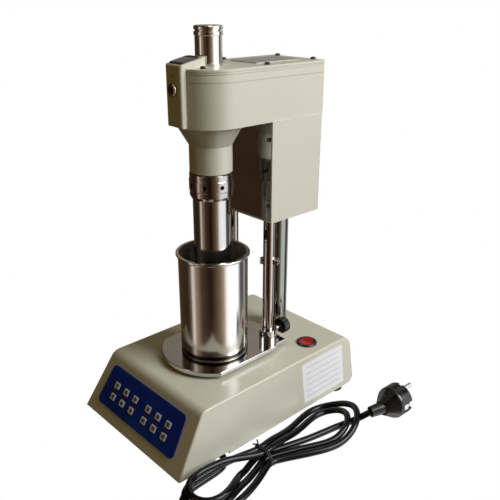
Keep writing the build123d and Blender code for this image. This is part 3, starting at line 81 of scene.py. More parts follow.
# mains lead, one smooth line from the gland to the plug
CORD_RADIUS = 3.65
LEAD_EXIT = (74, -76, 5.6)
LEAD_POINTS = (
    # out of the gland, down to the bench and round the first front loop
    LEAD_EXIT, (82, -76, 5.2), (89, -77.2, 4.5), (95.2, -81.2, 3.9), (99.2, -87.6, 3.8),
    (100.8, -98, 3.8), (101.2, -112, 3.8), (101.6, -125, 3.8), (102.6, -137.1, 3.8),
    (108.7, -147.7, 3.8), (119.3, -153.8, 3.8), (131.2, -153.6, 3.8), (141.2, -147.2, 3.8),
    (147, -135.5, 3.8), (147.4, -117, 3.8), (145, -98, 3.8), (140.4, -80, 3.8), (134, -63, 3.8),
    # first rear loop
    (126.6, -46, 3.8), (133.4, -30, 3.8), (140.4, -16, 3.8), (147.6, -1, 3.8), (154, 14, 3.8),
    (158.2, 31, 4.2), (158.4, 48, 8), (154.4, 63, 13.6), (146, 75.4, 17), (134, 83, 16.4),
    (120, 84, 11.6), (107, 77, 6.2), (98.2, 64, 3.8), (96, 49, 3.8), (98.4, 32, 3.8), (102.2, 14, 3.8),
    (105.6, -4, 6.2), (108.8, -26, 11.5),
    # second front loop, on the first
    (111.2, -46, 11.5), (107.5, -62, 11.5), (103.7, -78, 11.4), (102.2, -95, 11.4), (101.9, -110, 11.4),
    (101.9, -122, 11.4), (103, -134.1, 11.4), (109.1, -144.7, 11.4), (119.7, -150.8, 11.4),
    (131.2, -150.4, 11.4), (140.8, -143.5, 11.4), (145.4, -131.5, 11.4), (143.8, -116, 11.4),
    (137.6, -99, 9.8), (131.4, -82, 4.2), (125.4, -63, 3.8),
    # second rear loop, inside the first
    (118.9, -46, 3.8), (125.2, -29, 3.8), (132, -12, 3.8), (139, 4, 3.8), (146, 19.5, 3.8),
    (150.4, 34, 5.4), (149.8, 47.5, 9.4), (145.4, 59, 12.8), (137.4, 67.6, 13.8), (126.8, 71.6, 11.2),
    (115.8, 69.2, 7), (108.6, 60.8, 4.4), (106.2, 49, 3.8), (107.4, 36, 3.8), (110.4, 20, 3.8),
    (113.4, 3, 5.6), (116.2, -15, 10.2), (118.2, -31, 11.9),
    # third front loop, on the second
    (119.4, -46, 11.5), (115.6, -60, 12.8), (110.6, -76, 16.2), (106.6, -92, 18.8), (104.2, -107, 19),
    (103.4, -119, 19), (104.6, -130.4, 19), (110.4, -140.6, 19), (120.6, -146.6, 19),
    (131.6, -145.6, 19), (140.4, -138.6, 19), (143.6, -127, 19), (141.2, -113.5, 19),
    (134.6, -100, 17.2), (126.6, -87.5, 11.6), (120.2, -75, 4.6), (114.4, -61, 3.8),
    # out of the tie and under the rear loops to the plug
    (111.2, -46, 3.8), (116.6, -29, 3.8), (121.2, -14, 3.8), (125.2, 0, 3.8), (129, 14.3, 3.8),
    (132.6, 33, 3.8), (136, 51, 3.8), (139.6, 64.5, 4), (144.6, 74.4, 6.6), (150.4, 81.6, 11.6),
    (155.5, 86.5, 16.8),
)


def smooth_line(name, points, radius, closed=False):
    """A round strand along a NURBS line that passes near its points."""
    data = bpy.data.curves.new(name, "CURVE")
    data.dimensions = "3D"
    spline = data.splines.new("NURBS")
    spline.points.add(len(points) - 1)
    for point, place in zip(spline.points, points):
        point.co = (*mm(*place), 1.0)
    spline.use_cyclic_u = closed
    spline.order_u = 3
    spline.use_endpoint_u = not closed
    spline.resolution_u = 8
    data.bevel_depth = radius * MM
    data.bevel_resolution = 5
    data.use_fill_caps = not closed
    return add(name, data)


# materials, and first the sockets of a Mix node that mixes colours
MIX_FACTOR = 0
MIX_COLOURS = (6, 7)
MIX_RESULT = 2


class Nodes:
    """A node tree of a material or of the world, built up in steps."""

    def __init__(self, tree, coords):
        self.tree = tree
        self.coords = self.node("ShaderNodeTexCoord").outputs[coords]

    def node(self, kind, **settings):
        made = self.tree.nodes.new(kind)
        for key, value in settings.items():
            setattr(made, key, value)
        return made

    def link(self, output, node, socket):
        self.tree.links.new(output, node.inputs[socket])

    def place(self, letter):
        """The coordinates' X, Y or Z."""
        split = self.node("ShaderNodeSeparateXYZ")
        self.link(self.coords, split, "Vector")
        return split.outputs[letter]

    def away(self, first, second, middle):
        """Distance from the axis through middle that is square to the two directions."""
        squares = []
        for letter in (first, second):
            off = self.math("SUBTRACT", self.place(letter), getattr(middle, letter.lower()))
            squares.append(self.math("MULTIPLY", off, off))
        return self.math("SQRT", self.math("ADD", *squares))

    def noise(self, scale, detail=3.0, stretch=(1, 1, 1), rough=0.55):
        mapping = self.node("ShaderNodeMapping")
        mapping.inputs["Scale"].default_value = stretch
        self.link(self.coords, mapping, "Vector")
        noise = self.node("ShaderNodeTexNoise")
        noise.inputs["Scale"].default_value = scale
        noise.inputs["Detail"].default_value = detail
        noise.inputs["Roughness"].default_value = rough
        self.link(mapping.outputs["Vector"], noise, "Vector")
        return noise.outputs["Fac"]

    def spread(self, value, low, high, start=0.3, end=0.7):
        """The value's range start to end, mapped to low to high."""
        ramp = self.node("ShaderNodeMapRange")
        ramp.inputs["From Min"].default_value = start
        ramp.inputs["From Max"].default_value = end
        ramp.inputs["To Min"].default_value = low
        ramp.inputs["To Max"].default_value = high
        self.link(value, ramp, "Value")
        return ramp.outputs["Result"]

    def mix(self, factor, first, second, blend="MIX"):
        """The first colour where the factor is 0, and the second blended in where it is 1."""
        mix = self.node("ShaderNodeMix", data_type="RGBA", blend_type=blend)
        if isinstance(factor, (int, float)):
            mix.inputs[MIX_FACTOR].default_value = factor
        else:
            self.link(factor, mix, MIX_FACTOR)
        for socket, value in zip(MIX_COLOURS, (first, second)):
            if isinstance(value, tuple):
                mix.inputs[socket].default_value = (*value, 1.0)
            else:
                self.link(value, mix, socket)
        return mix.outputs[MIX_RESULT]

    def math(self, operation, first, second=None):
        node = self.node("ShaderNodeMath", operation=operation)
        for socket, value in enumerate((first, second)):
            if value is None:
                continue
            if isinstance(value, (int, float)):
                node.inputs[socket].default_value = value
            else:
                self.link(value, node, socket)
        return node.outputs[0]


class Shader(Nodes):
    """One node material round a Principled BSDF."""

    def __init__(self, name):
        self.material = bpy.data.materials.new(name)
        self.material.use_nodes = True
        super().__init__(self.material.node_tree, "Object")
        self.bsdf = self.tree.nodes["Principled BSDF"]

    def set(self, **values):
        for key, value in values.items():
            self.bsdf.inputs[key.replace("_", " ")].default_value = value
        return self

    def colour(self, output):
        self.link(output, self.bsdf, "Base Color")
        return self

    def roughness(self, output):
        self.link(output, self.bsdf, "Roughness")
        return self

    def metallic(self, output):
        self.link(output, self.bsdf, "Metallic")
        return self

    def bump(self, *layers, edge=0.0):
        """Layers are (height output, strength, distance in mm); edge rounds sharp corners, in mm."""
        normal = None
        if edge:
            bevel = self.node("ShaderNodeBevel", samples=4)
            bevel.inputs["Radius"].default_value = edge * MM
            normal = bevel.outputs["Normal"]
        for height, strength, distance in layers:
            bump = self.node("ShaderNodeBump")
            bump.inputs["Strength"].default_value = strength
            bump.inputs["Distance"].default_value = distance * MM
            self.link(height, bump, "Height")
            if normal:
                self.link(normal, bump, "Normal")
            normal = bump.outputs["Normal"]
        self.link(normal, self.bsdf, "Normal")
        return self


def shade(colour, factor):
    return tuple(c * factor for c in colour)


def painted(name, colour):
    """Stoved enamel: faint orange peel, slight unevenness of tone, soft edges and a few scuffs."""
    s = Shader(name)
    tone = s.mix(s.spread(s.noise(9.0, 5.0), 0, 1), shade(colour, 0.965), shade(colour, 1.03))
    grime = s.spread(s.noise(38.0, 6.0, rough=0.7), 0.0, 0.22, 0.62, 0.8)
    s.colour(s.mix(grime, tone, shade(colour, 0.8)))
    s.roughness(s.spread(s.noise(60.0, 3.0), 0.29, 0.42))
    s.bump((s.noise(420.0, 2.0), 0.10, 0.12), (s.noise(2600.0, 1.0), 0.05, 0.03), edge=0.35)
    s.set(Coat_Weight=0.25, Coat_Roughness=0.18, Specular_IOR_Level=0.5)
    return s.material


def turned_steel(name, colour, rough, lines, depth):
    """Steel turned on a lathe: fine rings round the vertical axis, and a few smudges."""
    s = Shader(name)
    rings = s.noise(1.0, 3.0, stretch=(3, 3, lines), rough=0.7)
    smudge = s.noise(45.0, 5.0, stretch=(1, 1, 0.4))
    s.colour(s.mix(s.spread(smudge, 0, 1), shade(colour, 0.93), colour))
    gloss = s.math("ADD", s.spread(rings, -0.04, 0.05), s.spread(smudge, rough - 0.03, rough + 0.06))
    s.roughness(gloss)
    s.bump((rings, depth, 0.05), edge=0.25)
    s.set(Metallic=1.0)
    return s.material


def plain_metal(name, colour, rough=0.25, grain=1500.0, depth=0.06, dull=0.8):
    """Plated, ground or cast metal with fine grain and uneven dulling."""
    s = Shader(name)
    cloud = s.noise(55.0, 5.0, rough=0.65)
    s.colour(s.mix(s.spread(cloud, 0, 1), shade(colour, dull), colour))
    s.roughness(s.spread(cloud, rough + 0.08, rough - 0.03))
    s.bump((s.noise(grain, 2.0), depth, 0.03), edge=0.2)
    s.set(Metallic=1.0)
    return s.material


def plastic(name, colour, rough=0.4, grain=1800.0, depth=0.15, edge=0.3, vary=0.12):
    """Moulded plastic or rubber with a fine eroded grain."""
    s = Shader(name)
    cloud = s.noise(70.0, 4.0)
    s.colour(s.mix(s.spread(cloud, 0, 1), shade(colour, 1 - vary), shade(colour, 1 + vary)))
    s.roughness(s.spread(s.noise(220.0, 3.0), rough - 0.06, rough + 0.08))
    s.bump((s.noise(grain, 2.0), depth, 0.04), edge=edge)
    return s.material


cream_paint = painted("cream_paint", (0.60, 0.60, 0.52))

sleeve_steel = turned_steel("sleeve_steel", (0.47, 0.45, 0.43), 0.06, 1100.0, 0.05)
collar_steel = turned_steel("collar_steel", (0.38, 0.35, 0.33), 0.05, 1300.0, 0.03)
bob_steel = turned_steel("bob_steel", (0.64, 0.62, 0.60), 0.16, 1200.0, 0.08)
cap_nickel = turned_steel("cap_nickel", (0.72, 0.70, 0.66), 0.12, 1000.0, 0.08)
# guide rods: chrome darkened and browned, which paints in the shade the rods stand in under the head
# and box
rod_chrome_painted_shade = plain_metal("rod_chrome_painted_shade", (0.36, 0.31, 0.28), 0.06, 900.0, 0.03, 0.94)
column_chrome = plain_metal("column_chrome", (0.22, 0.23, 0.21), 0.07, 900.0, 0.03, 0.94)
stage_steel = plain_metal("stage_steel", (0.60, 0.59, 0.57), 0.07, 1200.0, 0.03, 0.9)
screw_steel = plain_metal("screw_steel", (0.60, 0.58, 0.55), 0.16)
black_oxide = plain_metal("black_oxide", (0.10, 0.09, 0.08), 0.24)
zinc_sheet = plain_metal("zinc_sheet", (0.52, 0.53, 0.54), 0.4, 300.0, 0.08, 0.75)
brass = plain_metal("brass", (0.74, 0.54, 0.24), 0.24)
bronze_wire = plain_metal("bronze_wire", (0.62, 0.38, 0.20), 0.3)
nickel = plain_metal("nickel", (0.70, 0.68, 0.64), 0.18)
bearing_steel = plain_metal("bearing_steel", (0.58, 0.58, 0.58), 0.16)
transformer_steel = plain_metal("transformer_steel", (0.30, 0.30, 0.31), 0.45, 500.0, 0.2, 0.6)

black_rubber = plastic("black_rubber", (0.018, 0.018, 0.018), 0.62, 1300.0, 0.25)
black_plastic = plastic("black_plastic", (0.013, 0.013, 0.014), 0.35)
knob_plastic = plastic("knob_plastic", (0.006, 0.006, 0.007), 0.14, 1600.0, 0.05)
key_plastic = plastic("key_plastic", (0.80, 0.82, 0.92), 0.42, 2400.0, 0.12, 0.25, 0.05)
plug_plastic = plastic("plug_plastic", (0.0025, 0.0025, 0.003), 0.2, 1500.0, 0.03, 0.6)
nylon = plastic("nylon", (0.62, 0.60, 0.52), 0.5, 1500.0, 0.1, 0.2, 0.06)

# the cup's measures, in mm
CUP_WALL = 1.0
CUP_RIM_FLARE = 2.4
# height above the cup's bottom up to which a contact shadow is painted on the outside
FOOT_SHADOW_HEIGHT = 6.0
FOOT_SHADOW_FADE = 1.2  # on either side of the painted shadow's edge
WALL_FADE = 0.1  # on either side of the wall's middle


def cup_finish():
    """Turned steel, duller inside, with a painted contact shadow: the outside goes near black round the
    foot where the cup meets the stage.
    """
    s = Shader("cup_steel")
    low, high = (Vector(corner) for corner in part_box("sample_cup"))
    wall = (high.x - low.x) / 2 - (CUP_RIM_FLARE + CUP_WALL / 2) * MM
    fade = WALL_FADE * MM
    outside = s.spread(s.away("X", "Y", (low + high) / 2), 0, 1, wall - fade, wall + fade)
    height = s.math("SUBTRACT", s.place("Z"), low.z)
    # painted contact shadow: full near the cup's bottom, fading out a few mm up
    foot_shadow = s.spread(height, 1, 0, (FOOT_SHADOW_HEIGHT - FOOT_SHADOW_FADE) * MM, (FOOT_SHADOW_HEIGHT + FOOT_SHADOW_FADE) * MM)
    rings = s.noise(1.0, 3.0, stretch=(3, 3, 700), rough=0.7)
    smudge = s.noise(45.0, 5.0, stretch=(1, 1, 0.4))
    steel = s.mix(s.spread(smudge, 0, 1), (0.61, 0.59, 0.57), (0.66, 0.64, 0.61))
    # the painted shadow darkens the outside to near black
    steel = s.mix(s.math("MULTIPLY", foot_shadow, outside), steel, (0.02, 0.017, 0.014))
    s.colour(s.mix(outside, (0.60, 0.57, 0.53), steel))
    s.roughness(s.math("ADD", s.spread(smudge, 0.12, 0.2), s.spread(outside, 0.10, 0, 0, 1)))
    s.bump((rings, 0.07, 0.05), edge=0.25)
    s.metallic(s.spread(outside, 0.88, 1.0, 0, 1))
    return s.material


def stainless_front():
    """Stainless sheet with a fine grain along its length, so that reflections smear upwards."""
    s = Shader("stainless_front")
    grain = s.noise(1.0, 4.0, stretch=(1600, 1600, 12), rough=0.7)
    cloud = s.noise(30.0, 4.0)
    s.colour(s.mix(s.spread(cloud, 0, 1), (0.52, 0.50, 0.48), (0.60, 0.58, 0.55)))
    s.roughness(s.spread(grain, 0.09, 0.15))
    s.bump((grain, 0.05, 0.03), edge=0.3)
    s.set(Metallic=1.0)
    return s.material


def keypad_film():
    """Deep blue printed film over the keys, with hair scratches and handling marks."""
    s = Shader("keypad_film")
    cloud = s.noise(26.0, 5.0)
    base = s.mix(s.spread(cloud, 0, 1), (0.0012, 0.022, 0.33), (0.0025, 0.042, 0.46))
    scratch = s.noise(1.0, 2.0, stretch=(900, 60, 60), rough=0.6)
    mask = s.noise(24.0, 2.0)
    marks = s.math("MULTIPLY", s.spread(scratch, 0, 0.35, 0.70, 0.74), s.spread(mask, 0, 1, 0.5, 0.62))
    s.colour(s.mix(marks, base, (0.20, 0.24, 0.42)))
    s.roughness(s.spread(s.noise(90.0, 4.0), 0.34, 0.5))
    s.bump((s.noise(1500.0, 2.0), 0.06, 0.03), edge=0.4)
    s.set(Specular_IOR_Level=0.18)
    return s.material


def red_rocker():
    """Clear red plastic over a lamp, lighter where it is thin."""
    s = Shader("red_rocker")
    cloud = s.noise(120.0, 3.0)
    s.colour(s.mix(s.spread(cloud, 0, 1), (0.36, 0.003, 0.003), (0.55, 0.006, 0.006)))
    s.roughness(s.spread(s.noise(300.0, 2.0), 0.12, 0.22))
    s.bump((s.noise(900.0, 1.0), 0.05, 0.03), edge=0.4)
    s.set(Transmission_Weight=0.15, IOR=1.49, Coat_Weight=0.5)
    return s.material


ROTOR_AXIS_Y = -13.0
DIAL_BOTTOM = 366.0
DIAL_BORDER = 1.0
DIAL_DIVISIONS = ((2, 0.16, 4.0), (10, 0.14, 6.5))  # degrees, line width, line's top


def dial_scale():
    """White drum with black divisions every two degrees, longer every ten."""
    s = Shader("dial_scale")
    y = s.math("SUBTRACT", s.place("Y"), ROTOR_AXIS_Y * MM)
    angle = s.math("ARCTAN2", y, s.place("X"))
    height = s.math("SUBTRACT", s.place("Z"), DIAL_BOTTOM * MM)
    white = s.mix(s.spread(s.noise(50.0, 4.0), 0, 1), (0.74, 0.73, 0.68), (0.80, 0.79, 0.75))
    for step, width, top in DIAL_DIVISIONS:
        turn = s.math("MULTIPLY", angle, 180.0 / math.pi / step)
        off = s.math("ABSOLUTE", s.math("SUBTRACT", s.math("FRACT", turn), 0.5))
        line = s.math("GREATER_THAN", off, 0.5 - width / (step / 2))
        low = s.math("LESS_THAN", height, top * MM)
        high = s.math("GREATER_THAN", height, DIAL_BORDER * MM)
        ink = s.math("MULTIPLY", line, s.math("MULTIPLY", low, high))
        white = s.mix(ink, white, (0.02, 0.02, 0.02))
    s.colour(white)
    s.roughness(s.spread(s.noise(200.0, 2.0), 0.35, 0.5))
    s.bump((s.noise(1200.0, 2.0), 0.08, 0.03))
    return s.material


def circuit_board():
    """Green solder mask with paler tracks."""
    s = Shader("circuit_board")
    check = s.node("ShaderNodeTexBrick")
    check.inputs["Scale"].default_value = 160.0
    check.inputs["Mortar Size"].default_value = 0.035
    check.inputs["Color1"].default_value = (0.010, 0.10, 0.035, 1)
    check.inputs["Color2"].default_value = (0.014, 0.13, 0.045, 1)
    check.inputs["Mortar"].default_value = (0.03, 0.22, 0.08, 1)
    s.link(s.coords, check, "Vector")
    s.colour(check.outputs["Color"])
    s.roughness(s.spread(s.noise(120.0, 3.0), 0.3, 0.45))
    s.bump((check.outputs["Fac"], 0.3, 0.04))
    return s.material


def lens_glass():
    """Dark green-tinted window of the viewer."""
    s = Shader("lens_glass")
    haze = s.noise(160.0, 5.0, rough=0.7)
    s.colour(s.mix(s.spread(haze, 0, 1), (0.010, 0.014, 0.012), (0.030, 0.038, 0.032)))
    s.roughness(s.spread(haze, 0.05, 0.16))
    s.bump((s.noise(90.0, 2.0), 0.04, 0.1), edge=0.3)
    s.set(Coat_Weight=0.6, Specular_IOR_Level=0.6)
    return s.material


LAMP_RECESS = (0.52, 0.62)  # shares of the cap's radius between which the recess ends


def lamp_ring():
    """Brown-chromed cap with a dark recess round its axis, which runs along Y."""
    s = Shader("lamp_ring")
    low, high = (Vector(corner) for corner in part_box("lamp_cap"))
    middle, radius = (low + high) / 2, (high.x - low.x) / 2
    ring = s.spread(s.away("X", "Z", middle), 0, 1, *(share * radius for share in LAMP_RECESS))
    tone = s.mix(s.spread(s.noise(300.0, 3.0), 0, 1), (0.50, 0.36, 0.27), (0.66, 0.52, 0.42))
    s.colour(s.mix(ring, (0.02, 0.014, 0.011), tone))
    s.metallic(s.spread(ring, 0.2, 1.0, 0, 1))
    s.roughness(s.spread(ring, 0.4, 0.14, 0, 1))
    s.bump((s.noise(900.0, 2.0), 0.05, 0.03), edge=0.3)
    return s.material


def motor_case():
    """Black enamel over a steel can, chipped at the edges."""
    s = Shader("motor_case")
    chip = s.spread(s.noise(160.0, 6.0, rough=0.75), 0, 1, 0.68, 0.72)
    s.colour(s.mix(chip, (0.03, 0.03, 0.032), (0.35, 0.34, 0.33)))
    s.roughness(s.spread(s.noise(140.0, 3.0), 0.35, 0.5))
    s.bump((s.noise(700.0, 2.0), 0.15, 0.05), edge=0.4)
    s.set(Metallic=0.3)
    return s.material


def cord_sheath():
    """Black PVC, glossy, with drawn streaks too fine to see singly."""
    s = Shader("cord_sheath")
    cloud = s.noise(80.0, 4.0)
    s.colour(s.mix(s.spread(cloud, 0, 1), (0.002, 0.002, 0.0025), (0.004, 0.004, 0.0045)))
    s.roughness(s.spread(s.noise(260.0, 3.0), 0.09, 0.16))
    s.bump((s.noise(700.0, 3.0), 0.015, 0.05))
    s.set(Specular_IOR_Level=0.2)
    return s.material


cord_black = cord_sheath()
FINISHES = {
    cream_paint: ["base_housing", "head_housing", "head_lid", "lower_box", "viewer_block"],
    zinc_sheet: ["base_plate"],
    black_rubber: ["base_feet", "strain_relief"],
    keypad_film(): ["keypad_panel"],
    key_plastic: ["key_%02d" % k for k in range(1, 13)],
    circuit_board(): ["keypad_board", "control_board"],
    transformer_steel: ["transformer"],
    black_plastic: ["switch_bezel", "viewer_frame"],
    red_rocker(): ["switch_rocker"],
    rod_chrome_painted_shade: ["guide_rods"],
    column_chrome: ["main_column"],
    screw_steel: ["rod_collars", "stop_bolt", "lock_stud"],
    black_oxide: ["lid_screws", "box_screws"],
    stage_steel: ["stage_plate", "stage_hubs"],
    knob_plastic: ["lock_knob"],
    lamp_ring(): ["lamp_cap"],
    cup_finish(): ["sample_cup"],
    sleeve_steel: ["rotor_sleeve"],
    collar_steel: ["rotor_collar", "rotor_spindle"],
    brass: ["rotor_gear", "spring_anchor"],
    nylon: ["idler_gear"],
    bearing_steel: ["spindle_bearings", "bob_bearings", "motor_pinion"],
    motor_case(): ["motor"],
    bob_steel: ["bob", "bob_shaft"],
    dial_scale(): ["dial"],
    bronze_wire: ["torsion_spring"],
    cap_nickel: ["spring_cap"],
    lens_glass(): ["viewer_lens"],
    stainless_front(): ["box_front"],
    plug_plastic: ["plug_body"],
    nickel: ["plug_pins"],
    cord_black: ["cord_runs", "cord_hank"],
}
for finish, names in FINISHES.items():
    for name in names:
        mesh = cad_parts[name].data
        mesh.materials.clear()
        mesh.materials.append(finish)


def piece(name, build, finish, body):
    """A mesh made by build(bm), with its material, riding on a body."""
    mesh = bpy.data.meshes.new(name)
    bm = bmesh.new()
    build(bm)
    bm.to_mesh(mesh)
    bm.free()
    mesh.materials.append(finish)
    obj = add(name, mesh)
    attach(obj, body)
    return obj


def rounded_corners(half_x, half_y, radius, steps=5):
    """Corner points of a rounded rectangle about the origin."""
    points = []
    for quarter, (sx, sy) in enumerate(((1, 1), (-1, 1), (-1, -1), (1, -1))):
        for step in range(steps + 1):
            turn = math.radians(90 * quarter + 90 * step / steps)
            points.append((
                sx * (half_x - radius) + radius * math.cos(turn),
                sy * (half_y - radius) + radius * math.sin(turn),
            ))
    return points


def flat_plate(outline, thickness, place, bevel=0.0):
    """A thin plate with the outline in its own plane, in mm; place is the plane's matrix."""
    def build(bm):
        lower = [bm.verts.new(place @ mm(x, y, 0)) for x, y in outline]
        upper = [bm.verts.new(place @ mm(x, y, thickness)) for x, y in outline]
        bm.faces.new(upper)
        bm.faces.new(lower[::-1])
        for i in range(len(outline)):
            j = (i + 1) % len(outline)
            bm.faces.new((lower[i], lower[j], upper[j], upper[i]))
        if bevel:
            rim = [e for e in bm.edges if all(v in upper for v in e.verts)]
            bmesh.ops.bevel(bm, geom=rim, offset=bevel * MM, segments=2, affect="EDGES")
    return build


def plane_matrix(origin, across, up):
    """Matrix of a plane with its x axis across, y axis up and z axis outwards."""
    x = Vector(across).normalized()
    z = x.cross(Vector(up)).normalized()
    y = z.cross(x)
    m = Matrix((x, y, z)).transposed().to_4x4()
    m.translation = mm(*origin)
    return m


# the lead up to its plug, and its tie
lead = smooth_line("mains_lead", LEAD_POINTS, CORD_RADIUS)
lead.data.materials.append(cord_black)
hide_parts("cord_runs", "cord_hank")
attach(lead, "frame")

TIE_Y = -46.0
TIE_RADIUS = 0.8
TIE_SHIFTS = (-1.6, 0.6)  # of the two turns, along Y from TIE_Y
TIE_TURN = (
    (106.5, 0, 3.5), (107.0, 0, 1.0), (119.0, 0, 0.9), (130.5, 1, 1.0), (131.0, 1, 5.0),
    (128.5, 0.5, 10.0), (124.0, 0, 15.9), (115.0, 0, 16.0), (106.8, 0, 15.6), (106.2, 0, 9.0),
)
TIE_ENDS = (
    ((111.0, -46.5, 15.8), (109.0, -45.8, 16.6), (106.8, -44.8, 17.8), (105.6, -44.2, 19.8)),
    ((111.0, -45.5, 16.0), (108.6, -46.8, 16.4), (105.8, -47.8, 15.8), (103.6, -48.2, 14.4)),
)
tie_wire = plastic("tie_wire", (0.010, 0.010, 0.011), 0.4, 1500.0, 0.2)


def tie_strand(name, points, closed=False):
    strand = smooth_line(name, points, TIE_RADIUS, closed)
    strand.data.materials.append(tie_wire)
    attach(strand, "frame")
    return strand


for turn, shift in enumerate(TIE_SHIFTS):
    ring = [(x, TIE_Y + shift + y, z) for x, y, z in TIE_TURN]
    tie_strand("tie_turn_%d" % turn, ring, closed=True)
for number, tail in enumerate(TIE_ENDS):
    tie_strand("tie_end_%d" % number, tail)


# label on the base's right wall, without lettering; the wall leans in from its foot
WALL_FOOT_X = 91.0
WALL_FOOT_Z = 7.0
WALL_HEIGHT = 62.0
WALL_SETBACK = 8.0
LABEL_Y = 82.5
LABEL_Z = 37.5
LABEL_HALF_WIDTH = 35.5
LABEL_HALF_HEIGHT = 24.5  # measured upright, and more along the leaning wall
LABEL_THICKNESS = 0.15
RULE_FIRST_Z = 16.0
RULE_PITCH = 7.2
RULE_WIDTH = 0.045  # share of the pitch, on either side of the rule's middle
RULE_START_Y = 53.0
RULE_END_Y = 112.0


def ruled_film():
    """White film with thin blue-grey rules, as a blank form has."""
    s = Shader("ruled_film")
    turn = s.math("DIVIDE", s.math("SUBTRACT", s.place("Z"), RULE_FIRST_Z * MM), RULE_PITCH * MM)
    off = s.math("ABSOLUTE", s.math("SUBTRACT", s.math("FRACT", turn), 0.5))
    rule = s.math("LESS_THAN", off, RULE_WIDTH)
    inside = s.math("MULTIPLY", s.math("GREATER_THAN", s.place("Y"), RULE_START_Y * MM),
                    s.math("LESS_THAN", s.place("Y"), RULE_END_Y * MM))
    paper = s.mix(s.spread(s.noise(40.0, 4.0), 0, 1), (0.82, 0.85, 0.93), (0.87, 0.89, 0.96))
    ink = s.math("MULTIPLY", s.math("MULTIPLY", rule, inside), 0.7)
    s.colour(s.mix(ink, paper, (0.20, 0.22, 0.38)))
    s.roughness(s.spread(s.noise(160.0, 3.0), 0.3, 0.42))
    s.bump((s.noise(500.0, 2.0), 0.05, 0.05))
    return s.material


wall_lean = math.atan2(WALL_SETBACK, WALL_HEIGHT)
label_x = WALL_FOOT_X - WALL_SETBACK * (LABEL_Z - WALL_FOOT_Z) / WALL_HEIGHT
label_place = plane_matrix(
    (label_x, LABEL_Y, LABEL_Z), (0, 1, 0), (-math.sin(wall_lean), 0, math.cos(wall_lean)))
label_outline = rounded_corners(LABEL_HALF_WIDTH, LABEL_HALF_HEIGHT / math.cos(wall_lean), 1.2)
piece("wall_label", flat_plate(label_outline, LABEL_THICKNESS, label_place), ruled_film(), "frame")

# bare plate on the lid
LID_TOP = 394.0
PLATE_Y = 65.5
PLATE_HALF_X = 20.0
PLATE_HALF_Y = 33.5
PLATE_THICKNESS = 0.8
BORDER_OUTER = 2.1  # inwards from the plate's edge
BORDER_INNER = 2.6


def plate_print():
    """Blue-grey anodised plate with a fine bright border line."""
    s = Shader("plate_print")
    x = s.math("ABSOLUTE", s.place("X"))
    y = s.math("ABSOLUTE", s.math("SUBTRACT", s.place("Y"), PLATE_Y * MM))
    past_edge = s.math("MAXIMUM", s.math("SUBTRACT", x, PLATE_HALF_X * MM),
                       s.math("SUBTRACT", y, PLATE_HALF_Y * MM))
    line = s.math("MULTIPLY", s.math("GREATER_THAN", past_edge, -BORDER_INNER * MM),
                  s.math("LESS_THAN", past_edge, -BORDER_OUTER * MM))
    cloud = s.mix(s.spread(s.noise(60.0, 4.0), 0, 1), (0.36, 0.39, 0.385), (0.44, 0.47, 0.46))
    s.colour(s.mix(line, cloud, (0.55, 0.58, 0.58)))
    grain = s.noise(1.0, 3.0, stretch=(40, 2200, 40))
    s.roughness(s.spread(grain, 0.28, 0.42))
    s.bump((grain, 0.05, 0.03))
    s.set(Metallic=0.55)
    return s.material


plate_place = plane_matrix((0, PLATE_Y, LID_TOP), (1, 0, 0), (0, 1, 0))
plate_outline = rounded_corners(PLATE_HALF_X, PLATE_HALF_Y, 1.5)
piece("lid_plate", flat_plate(plate_outline, PLATE_THICKNESS, plate_place, 0.25),
      plate_print(), "frame")

# print on the keys, and the small red lamp windows between them, on the base's sloped front
SLOPE_TOP = (0, -98.5, 69.0)
SLOPE_UP = (0, 38.5, 62.0)
KEY_XS = (-50.6, -32.4, -14.2, 10.2, 28.4, 46.6)
KEY_ROWS = (31.8, 45.2)  # down the slope
KEY_TOP = 1.6
KEY_FACE = 2.3
KEY_NUMBERS = ("1", "2", "3", "6", "10", "20", "30", "60", "100", "200", "300", "600")
FACE_THICKNESS = 0.04
NUMBER_OUT = 1.63
NUMBER_SIZE = 4.4
LONG_NUMBER_SIZE = 3.6  # for three figures
NUMBER_BOLDNESS = 0.06
LAMP_ROW = 38.5
LAMP_OUT = 1.0
print_ink = plastic("print_ink", (0.015, 0.03, 0.16), 0.45, 1500.0, 0.05, 0.0)
lamp_red = plastic("lamp_red", (0.09, 0.006, 0.008), 0.3, 1500.0, 0.05, 0.0)
face_grey = plastic("face_grey", (0.17, 0.20, 0.36), 0.45, 1500.0, 0.05, 0.0)


def slope_place(x, down, out):
    """A plane along the slope, x mm across, down mm from its top edge and out mm above it."""
    place = plane_matrix(SLOPE_TOP, (1, 0, 0), SLOPE_UP)
    place.translation += place.to_3x3() @ mm(x, -down, out)
    return place


for key, text in enumerate(KEY_NUMBERS):
    x, down = KEY_XS[key % len(KEY_XS)], KEY_ROWS[key // len(KEY_XS)]
    label = "%02d" % (key + 1)
    face = rounded_corners(KEY_FACE, KEY_FACE, 0.8, 3)
    piece("key_face_" + label, flat_plate(face, FACE_THICKNESS, slope_place(x, down, KEY_TOP)),
          face_grey, "key_body_" + label)
    font = bpy.data.curves.new("key_number_" + label, "FONT")
    font.body = text
    font.size = (NUMBER_SIZE if len(text) < 3 else LONG_NUMBER_SIZE) * MM
    font.align_x = "CENTER"
    font.align_y = "CENTER"
    font.extrude = FACE_THICKNESS * MM
    font.offset = NUMBER_BOLDNESS * MM
    font.materials.append(print_ink)
    mark = add(font.name, font)
    mark.matrix_world = slope_place(x, down, NUMBER_OUT)
    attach(mark, "key_body_" + label)
for lamp, x in enumerate(KEY_XS):
    window = flat_plate(rounded_corners(2.0, 1.5, 0.3, 3), 0.12, slope_place(x, LAMP_ROW, LAMP_OUT))
    piece("lamp_window_%d" % (lamp + 1), window, lamp_red, "frame")


# floor: white to the camera, and a dim warm paper to all other light
WHITE = (1.0, 1.0, 1.0)
FLOOR_HALF = 6.0
FLOOR_DROP = 0.2


